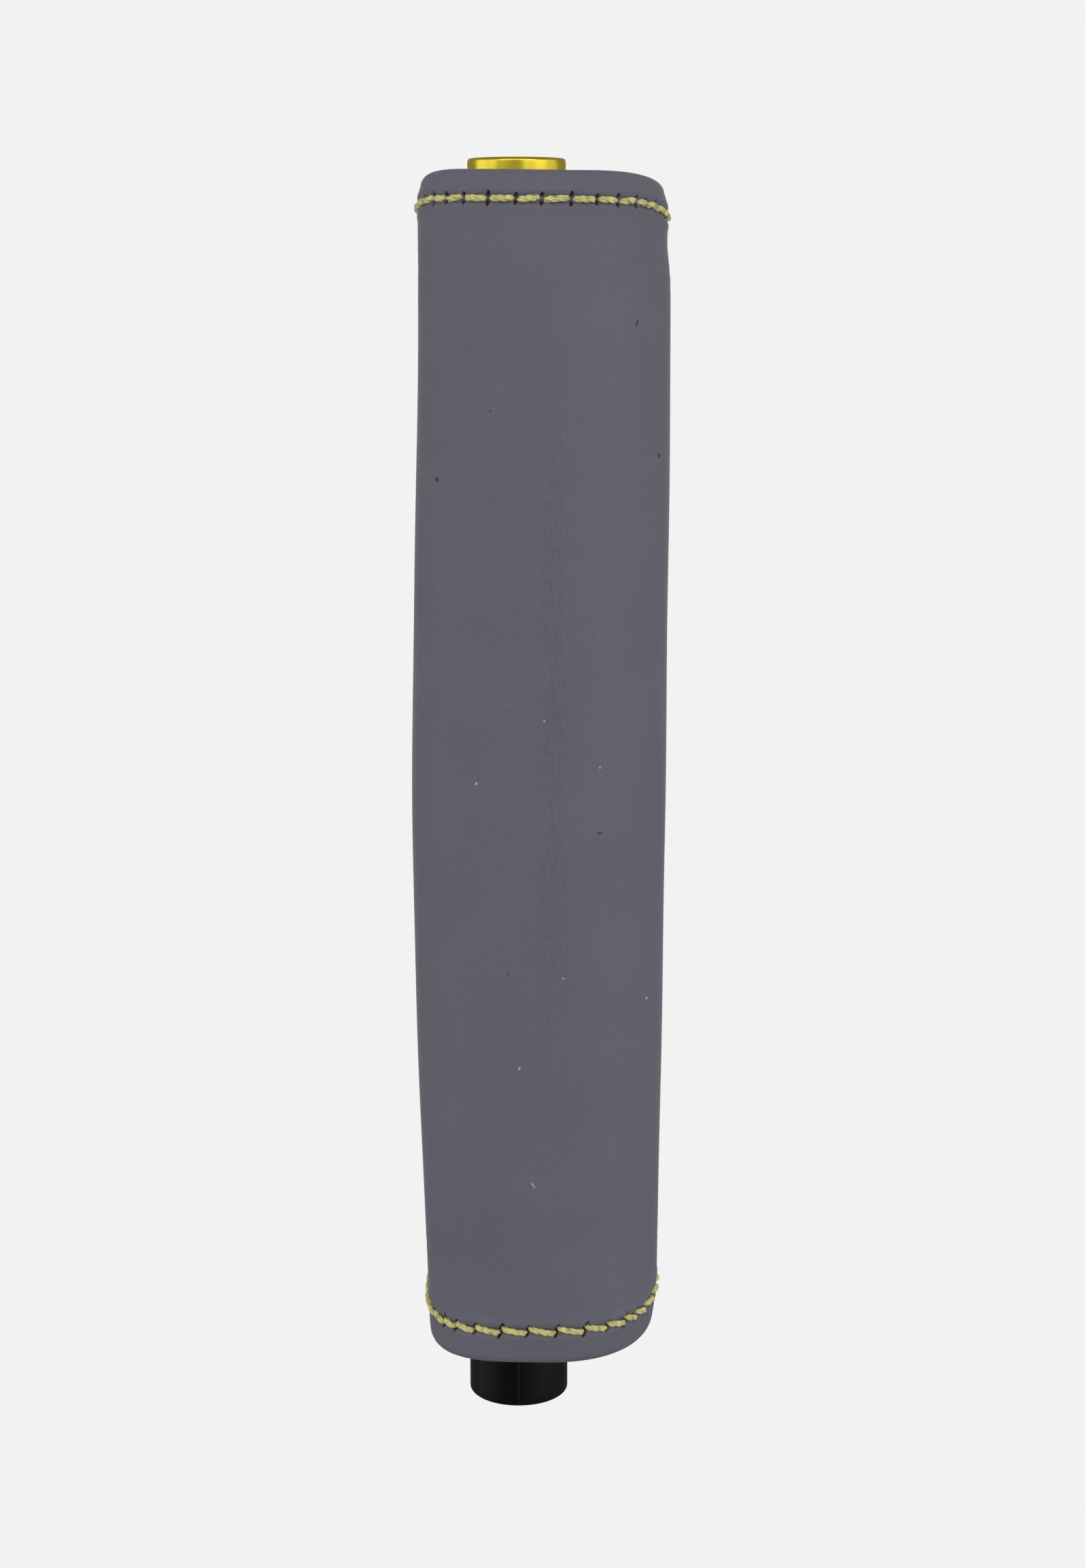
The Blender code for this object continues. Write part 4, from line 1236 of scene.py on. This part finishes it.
def makeLeather(groups):
    # grey leather: blotches, then grain, pores, dust and flecks, with painted shade in the needle holes
    # and in the creases over them
    look = leatherLook
    material, tree, shader, place, _ = newMaterial("greyLeather")
    blotch = useGroup(tree, groups["blotches"], place, Scale=look["patchScale"],
                      First=look["color"], Second=look["patch"])
    grain = useGroup(tree, groups["hideGrain"], place, Scale=look["grainScale"])
    pits = mathNode(tree, "MULTIPLY", grain["Pits"], look["grainShade"])
    color = mixColor(tree, pits, blotch["Color"], look["pitAndCreaseShade"])
    # pores: fine noise that darkens a little
    pores = spread01(tree, noiseNode(tree, place, look["poreScale"], 2.0, 0.7), 0.42, 0.60)
    color = mixColor(tree, mathNode(tree, "MULTIPLY", pores, look["poreShade"]), color, look["pitAndCreaseShade"])
    # fine dust, pale and dark
    pale = useGroup(tree, groups["specks"], place, **look["paleDust"])
    longer = stretched(tree, place, (1.0, 1.0, 0.8))
    dull = useGroup(tree, groups["specks"], longer, **look["dullDust"])
    color = mixColor(tree, mathNode(tree, "MULTIPLY", pale["Mask"], 0.55), color, look["paleSpeck"])
    color = mixColor(tree, mathNode(tree, "MULTIPLY", dull["Mask"], 0.75), color, look["dullSpeck"])
    for x, z, long, wide, lean, kind in leatherFlecks:
        spot = useGroup(tree, groups["fleck"], place, X=x, Z=z,
                        Long=long, Wide=wide, Lean=math.radians(lean))
        color = mixColor(tree, mathNode(tree, "MULTIPLY", spot["Mask"], 0.8), color, look[kind])
    # painted shade: the needle-hole slits darkened to near-black, from the cover's attribute
    holes = tree.nodes.new("ShaderNodeAttribute")
    holes.attribute_name = "holes"
    color = mixColor(tree, holes.outputs["Fac"], color, look["hole"])
    # one band of short wavy creases up the front, strongest halfway up: the dips of a noise drawn
    # out upright, times how near the band's middle the point is
    split = tree.nodes.new("ShaderNodeSeparateXYZ")
    tree.links.new(place, split.inputs[0])
    aside = mathNode(tree, "ABSOLUTE", mathNode(tree, "SUBTRACT", split.outputs[0], look["creaseX"]))
    climb = mathNode(tree, "SUBTRACT", split.outputs[2], look["creaseHeight"])
    away = mathNode(tree, "ABSOLUTE", climb)
    band = mathNode(tree, "SUBTRACT", 1.0, spread01(tree, aside, 0.0005, look["creaseWidth"]))
    front = spread01(tree, split.outputs[1], 0.0, -0.008)
    reach = mathNode(tree, "SUBTRACT", 1.0, spread01(tree, away, 0.02, look["creaseReach"]))
    mask = mathNode(tree, "MULTIPLY", mathNode(tree, "MULTIPLY", band, front), reach)
    wave = noiseNode(tree, stretched(tree, place, look["creaseStretch"]), 1.0, 2.0, 0.6)
    dips = mathNode(tree, "SUBTRACT", 1.0, spread01(tree, wave, 0.34, 0.56))
    ditches = mathNode(tree, "MULTIPLY", dips, mask)
    folds = mathNode(tree, "SUBTRACT", 1.0, ditches)
    # painted shade: the crease ditches darkened towards the pit colour
    color = mixColor(tree, mathNode(tree, "MULTIPLY", ditches, look["creaseShade"]), color, look["pitAndCreaseShade"])
    tree.links.new(color, shader.inputs["Base Color"])
    unevenRoughness(tree, shader, blotch["Mask"], 0.05, look["roughness"] - 0.03)
    shader.inputs["Specular IOR Level"].default_value = look["specular"]
    shader.inputs["Sheen Weight"].default_value = look["sheen"]
    shader.inputs["Sheen Roughness"].default_value = look["sheenRoughness"]
    # faint lengthwise creases: noise drawn out along the grip
    crease = noiseNode(tree, stretched(tree, place, look["stretchScale"]), 1.0, 3.0, 0.55)
    first = bump(tree, shader, crease, 0.25, look["stretchDepth"])
    second = bump(tree, shader, folds, 0.8, look["creaseDepth"], first)
    bump(tree, shader, grain["Height"], 0.5, look["grainDepth"], second)
    return material


threadLook = {
    "light": (0.95, 0.90, 0.35),
    "dark": (0.30, 0.265, 0.070),
    "roughness": 0.52,
    "sheen": 0.3,
    "fibreDepth": 0.00006,
}


def makeThread():
    look = threadLook
    material, tree, shader, _, along = newMaterial("yellowThread")
    # fibres run along each ply: noise long in v and fine in u
    fibre = noiseNode(tree, stretched(tree, along, (9.0, 1.3, 1.0)), 1.0, 3.0, 0.6)
    mask = spread01(tree, fibre, 0.34, 0.62)
    color = mixColor(tree, mask, look["dark"], look["light"])
    tree.links.new(color, shader.inputs["Base Color"])
    unevenRoughness(tree, shader, mask, 0.12, look["roughness"])
    shader.inputs["Sheen Weight"].default_value = look["sheen"]
    bump(tree, shader, fibre, 0.5, look["fibreDepth"])
    return material


# each metal: its colour and the deeper one in it, its least roughness and how far that swings,
# and the depth of the turned marks
metalLooks = {
    "goldAnodised": {"color": (0.98, 0.78, 0.075), "deep": (0.88, 0.67, 0.048),
                     "roughness": 0.18, "swing": 0.14, "depth": 0.000012},
    "brightSteel": {"color": (0.60, 0.60, 0.62), "deep": (0.50, 0.50, 0.53),
                    "roughness": 0.20, "swing": 0.20, "depth": 0.00002},
}


def makeMetal(groups, name):
    # a turned metal: slow change between two tints, and fine tool marks in roughness and height
    look = metalLooks[name]
    material, tree, shader, place, _ = newMaterial(name)
    marks = useGroup(tree, groups["turnedMarks"], place)
    color = mixColor(tree, marks["Mask"], look["color"], look["deep"])
    tree.links.new(color, shader.inputs["Base Color"])
    shader.inputs["Metallic"].default_value = 1.0
    unevenRoughness(tree, shader, marks["Height"], look["swing"], look["roughness"])
    bump(tree, shader, marks["Height"], 0.20, look["depth"])
    return material


# each moulded finish: its colour and the patches in it, roughness, the fineness and depth of
# the mould's texture, and how strongly it mirrors
plasticLooks = {
    "blackPlastic": {"color": (0.0010, 0.0008, 0.0011), "patch": (0.0007, 0.0006, 0.0008),
                     "roughness": 0.30, "texture": 5200.0, "depth": 0.00002, "specular": 0.17},
    "plugPlastic": {"color": (0.020, 0.020, 0.021), "patch": (0.015, 0.015, 0.016),
                    "roughness": 0.50, "texture": 4200.0, "depth": 0.00003, "specular": 0.5},
    "corePlastic": {"color": (0.065, 0.065, 0.070), "patch": (0.050, 0.050, 0.055),
                    "roughness": 0.48, "texture": 3600.0, "depth": 0.00002, "specular": 0.5},
    "whiteAcetal": {"color": (0.76, 0.75, 0.71), "patch": (0.70, 0.69, 0.65),
                    "roughness": 0.36, "texture": 3000.0, "depth": 0.00001, "specular": 0.5},
    "blackRubber": {"color": (0.018, 0.018, 0.018), "patch": (0.024, 0.024, 0.024),
                    "roughness": 0.72, "texture": 2500.0, "depth": 0.00002, "specular": 0.5},
}


def makePlastic(groups, name):
    # a moulded plastic: slow blotches in colour, and the mould's fine skin in height
    look = plasticLooks[name]
    material, tree, shader, place, _ = newMaterial(name)
    blotch = useGroup(tree, groups["blotches"], place, Scale=220.0,
                      First=look["color"], Second=look["patch"])
    skin = useGroup(tree, groups["mouldTexture"], place, Scale=look["texture"])
    tree.links.new(blotch["Color"], shader.inputs["Base Color"])
    unevenRoughness(tree, shader, skin["Mask"], 0.08, look["roughness"])
    shader.inputs["Specular IOR Level"].default_value = look["specular"]
    bump(tree, shader, skin["Height"], 0.4, look["depth"])
    return material


foamLook = {
    "color": (0.045, 0.045, 0.048),
    "patch": (0.030, 0.030, 0.032),
    "pore": (0.012, 0.012, 0.012),
    "poreScale": 1500.0,
    "poreDepth": 0.0002,
    "roughness": 0.9,
}


def makeFoam(groups):
    # open foam: the distance to the middle of each Voronoi cell darkens it and sinks it
    material, tree, shader, place, _ = newMaterial("darkFoam")
    cells = tree.nodes.new("ShaderNodeTexVoronoi")
    cells.inputs["Scale"].default_value = foamLook["poreScale"]
    tree.links.new(place, cells.inputs["Vector"])
    blotch = useGroup(tree, groups["blotches"], place, Scale=300.0,
                      First=foamLook["color"], Second=foamLook["patch"])
    pore = spread01(tree, cells.outputs["Distance"], 0.2, 0.6)
    color = mixColor(tree, pore, blotch["Color"], foamLook["pore"])
    tree.links.new(color, shader.inputs["Base Color"])
    shader.inputs["Roughness"].default_value = foamLook["roughness"]
    bump(tree, shader, cells.outputs["Distance"], 0.7, foamLook["poreDepth"])
    return material


studio = {
    "page": 0.888,
    "ambient": 0.44,
    "mirrored": 0.24,
    "cameraPlace": (0.003362, -0.34143, 0.15485),
    "cameraPitch": 11.177,
    "cameraLens": 58.81,
    "floorDrop": 0.9,
    "floorSize": 8.0,
    "floorShade": 0.30,
    "aim": (0.003, 0.0, 0.085),
    # a tent of upright panels round the grip: degrees from the camera's side, and watts
    "panels": {-90: 0.93, -60: 0.83, -30: 0.31, 0: 0.11, 30: 0.80, 60: 1.11, 90: 0.57},
    "panelSize": (0.42, 0.90),
    "panelDistance": 0.8,
    "panelHeight": 0.05,
    "highPanel": 2.2,
    "highSize": (1.60, 0.30),
    "highHeight": 0.58,
    "backPanel": 2.0,
    "backSize": (0.60, 0.60),
    "backHeight": 0.02,
}


def pageEmission(tree, output, behind):
    # the camera sees an even page, and everything else sees what is behind it
    path = tree.nodes.new("ShaderNodeLightPath")
    mix = tree.nodes.new("ShaderNodeMixShader")
    tree.links.new(path.outputs["Is Camera Ray"], mix.inputs[0])
    tree.links.new(behind, mix.inputs[1])
    isWorld = output.bl_idname == "ShaderNodeOutputWorld"
    page = tree.nodes.new("ShaderNodeBackground" if isWorld else "ShaderNodeEmission")
    page.inputs["Color"].default_value = (studio["page"],) * 3 + (1.0,)
    page.inputs["Strength"].default_value = 1.0
    tree.links.new(page.outputs[0], mix.inputs[2])
    tree.links.new(mix.outputs[0], output.inputs["Surface"])
    return path


def makeStage():
    scene = bpy.context.scene
    world = bpy.data.worlds.new("studio")
    scene.world = world
    world.use_nodes = True
    tree = world.node_tree
    output = tree.nodes["World Output"]
    soft = tree.nodes["Background"]
    soft.inputs["Color"].default_value = (1.0, 1.0, 1.0, 1.0)
    path = pageEmission(tree, output, soft.outputs[0])
    # reflections see a dimmer room than matte surfaces do
    drop = studio["ambient"] - studio["mirrored"]
    glossy = mathNode(tree, "MULTIPLY", path.outputs["Is Glossy Ray"], drop)
    tree.links.new(mathNode(tree, "SUBTRACT", studio["ambient"], glossy), soft.inputs["Strength"])
    size, level = studio["floorSize"], -studio["floorDrop"]
    corners = [(-size, -size, level), (size, -size, level), (size, size, level), (-size, size, level)]
    mesh = bpy.data.meshes.new("floor")
    mesh.from_pydata(corners, [], [(0, 1, 2, 3)])
    floor = bpy.data.objects.new("floor", mesh)
    scene.collection.objects.link(floor)
    material = bpy.data.materials.new("paleFloor")
    material.use_nodes = True
    floorTree = material.node_tree
    matte = floorTree.nodes.new("ShaderNodeBsdfDiffuse")
    matte.inputs["Color"].default_value = (studio["floorShade"],) * 3 + (1.0,)
    pageEmission(floorTree, floorTree.nodes["Material Output"], matte.outputs[0])
    mesh.materials.append(material)


def addPanel(name, place, size, watts):
    # a soft rectangle that faces the middle of the grip
    light = bpy.data.lights.new(name, "AREA")
    light.shape = "RECTANGLE"
    light.size, light.size_y = size
    light.energy = watts
    item = bpy.data.objects.new(name, light)
    bpy.context.scene.collection.objects.link(item)
    item.location = place
    direction = np.array(studio["aim"]) - np.array(place)
    flat = math.hypot(direction[0], direction[1])
    item.rotation_euler = (math.atan2(flat, -direction[2]), 0, math.atan2(-direction[0], direction[1]))
    item.visible_camera = False


def makeLights():
    far = studio["panelDistance"]
    for degrees, watts in studio["panels"].items():
        turn = math.radians(degrees)
        place = (far * math.sin(turn), -far * math.cos(turn), studio["panelHeight"])
        addPanel(f"panel{degrees}", place, studio["panelSize"], watts)
    addPanel("highPanel", (0, -far, studio["highHeight"]), studio["highSize"], studio["highPanel"])
    addPanel("backPanel", (0, far, studio["backHeight"]), studio["backSize"], studio["backPanel"])


def makeCamera():
    data = bpy.data.cameras.new("camera")
    data.lens = studio["cameraLens"]
    data.sensor_width = 36.0
    data.clip_start = 0.01
    item = bpy.data.objects.new("camera", data)
    bpy.context.scene.collection.objects.link(item)
    item.location = studio["cameraPlace"]
    item.rotation_euler = (math.radians(90 - studio["cameraPitch"]), 0, 0)
    bpy.context.scene.camera = item
    settings = bpy.context.scene.view_settings
    settings.view_transform = "Standard"
    settings.look = "None"


def finishPiece(item, material, body, node):
    item.data.materials.append(material)
    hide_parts(node)
    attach(item, body)
    print("made", item.name, len(item.data.polygons), "faces")
    return item


makeStage()
makeLights()
makeCamera()

groups = {
    "hideGrain": makeHideGrain(),
    "specks": makeSpecks(),
    "fleck": makeFleck(),
    "blotches": makeBlotches(),
    "mouldTexture": makeMouldTexture(),
    "turnedMarks": makeTurnedMarks(),
}
leather = makeLeather(groups)
thread = makeThread()
gold = makeMetal(groups, "goldAnodised")
foam = makeFoam(groups)
steel = makeMetal(groups, "brightSteel")
plastics = [makePlastic(groups, name) for name in plasticLooks]
blackPlastic, plugPlastic, corePlastic, acetal, rubber = plastics
print("materials ready")

# every new piece: its mesh, material, body and slot, and the frame's node that it replaces
pieces = (
    (makeLeatherCover(), leather, "grip", "leather_grey", "leather_cover"),
    (makeHemThread("topHemThread", 1), thread, "grip", "thread_yellow", "top_hem_thread"),
    (makeHemThread("bottomHemThread", -1), thread, "grip", "thread_yellow", "bottom_hem_thread"),
    (makeSeamThread(), thread, "grip", "thread_yellow", "back_seam_thread"),
    (makeFoamPad(), foam, "grip", "foam_dark", "foam_pad"),
    (makeEndPlug("topPlug", 1, plugTopLow, plugTopHigh, endPlug["buttonBore"]),
     plugPlastic, "grip", "plastic_black", "top_plug"),
    (makeEndPlug("bottomPlug", -1, plugBottomLow, plugBottomHigh, endPlug["leverBore"]),
     plugPlastic, "grip", "plastic_black", "bottom_plug"),
    (makeGuideBush(), acetal, "grip", "acetal_white", "guide_bush"),
    (makeWasher("springSeat", "spring_seat"), steel, "grip", "steel_bright", "spring_seat"),
    (makeReturnSpring(), steel, "grip", "steel_bright", "return_spring"),
    (makeRivet(), steel, "grip", "steel_bright", "clip_rivet"),
    (makePushRod(), blackPlastic, "plunger", "plastic_black", "push_rod"),
    (makePushButton(), gold, "plunger", "button_gold", "push_button"),
    (makeRattleRing(), rubber, "plunger", "rubber_black", "rattle_ring"),
    (makeStud(), steel, "plunger", "steel_bright", "button_stud"),
    (makeWasher("buttonWasher", "button_washer"), steel, "plunger", "steel_bright", "button_washer"),
)
made = {}
for item, material, body, slot, node in pieces:
    made[node] = finishPiece(item, material, body, node)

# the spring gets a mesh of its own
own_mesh(made["return_spring"])

# the hidden core and the lock clip keep the frame's own meshes
hidden = (("grip_core", corePlastic, "core_plastic"), ("lock_clip", steel, "steel_bright"))
for node, material, slot in hidden:
    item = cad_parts[node]
    item.data.materials.clear()
    item.data.materials.append(material)
print("pieces ready")
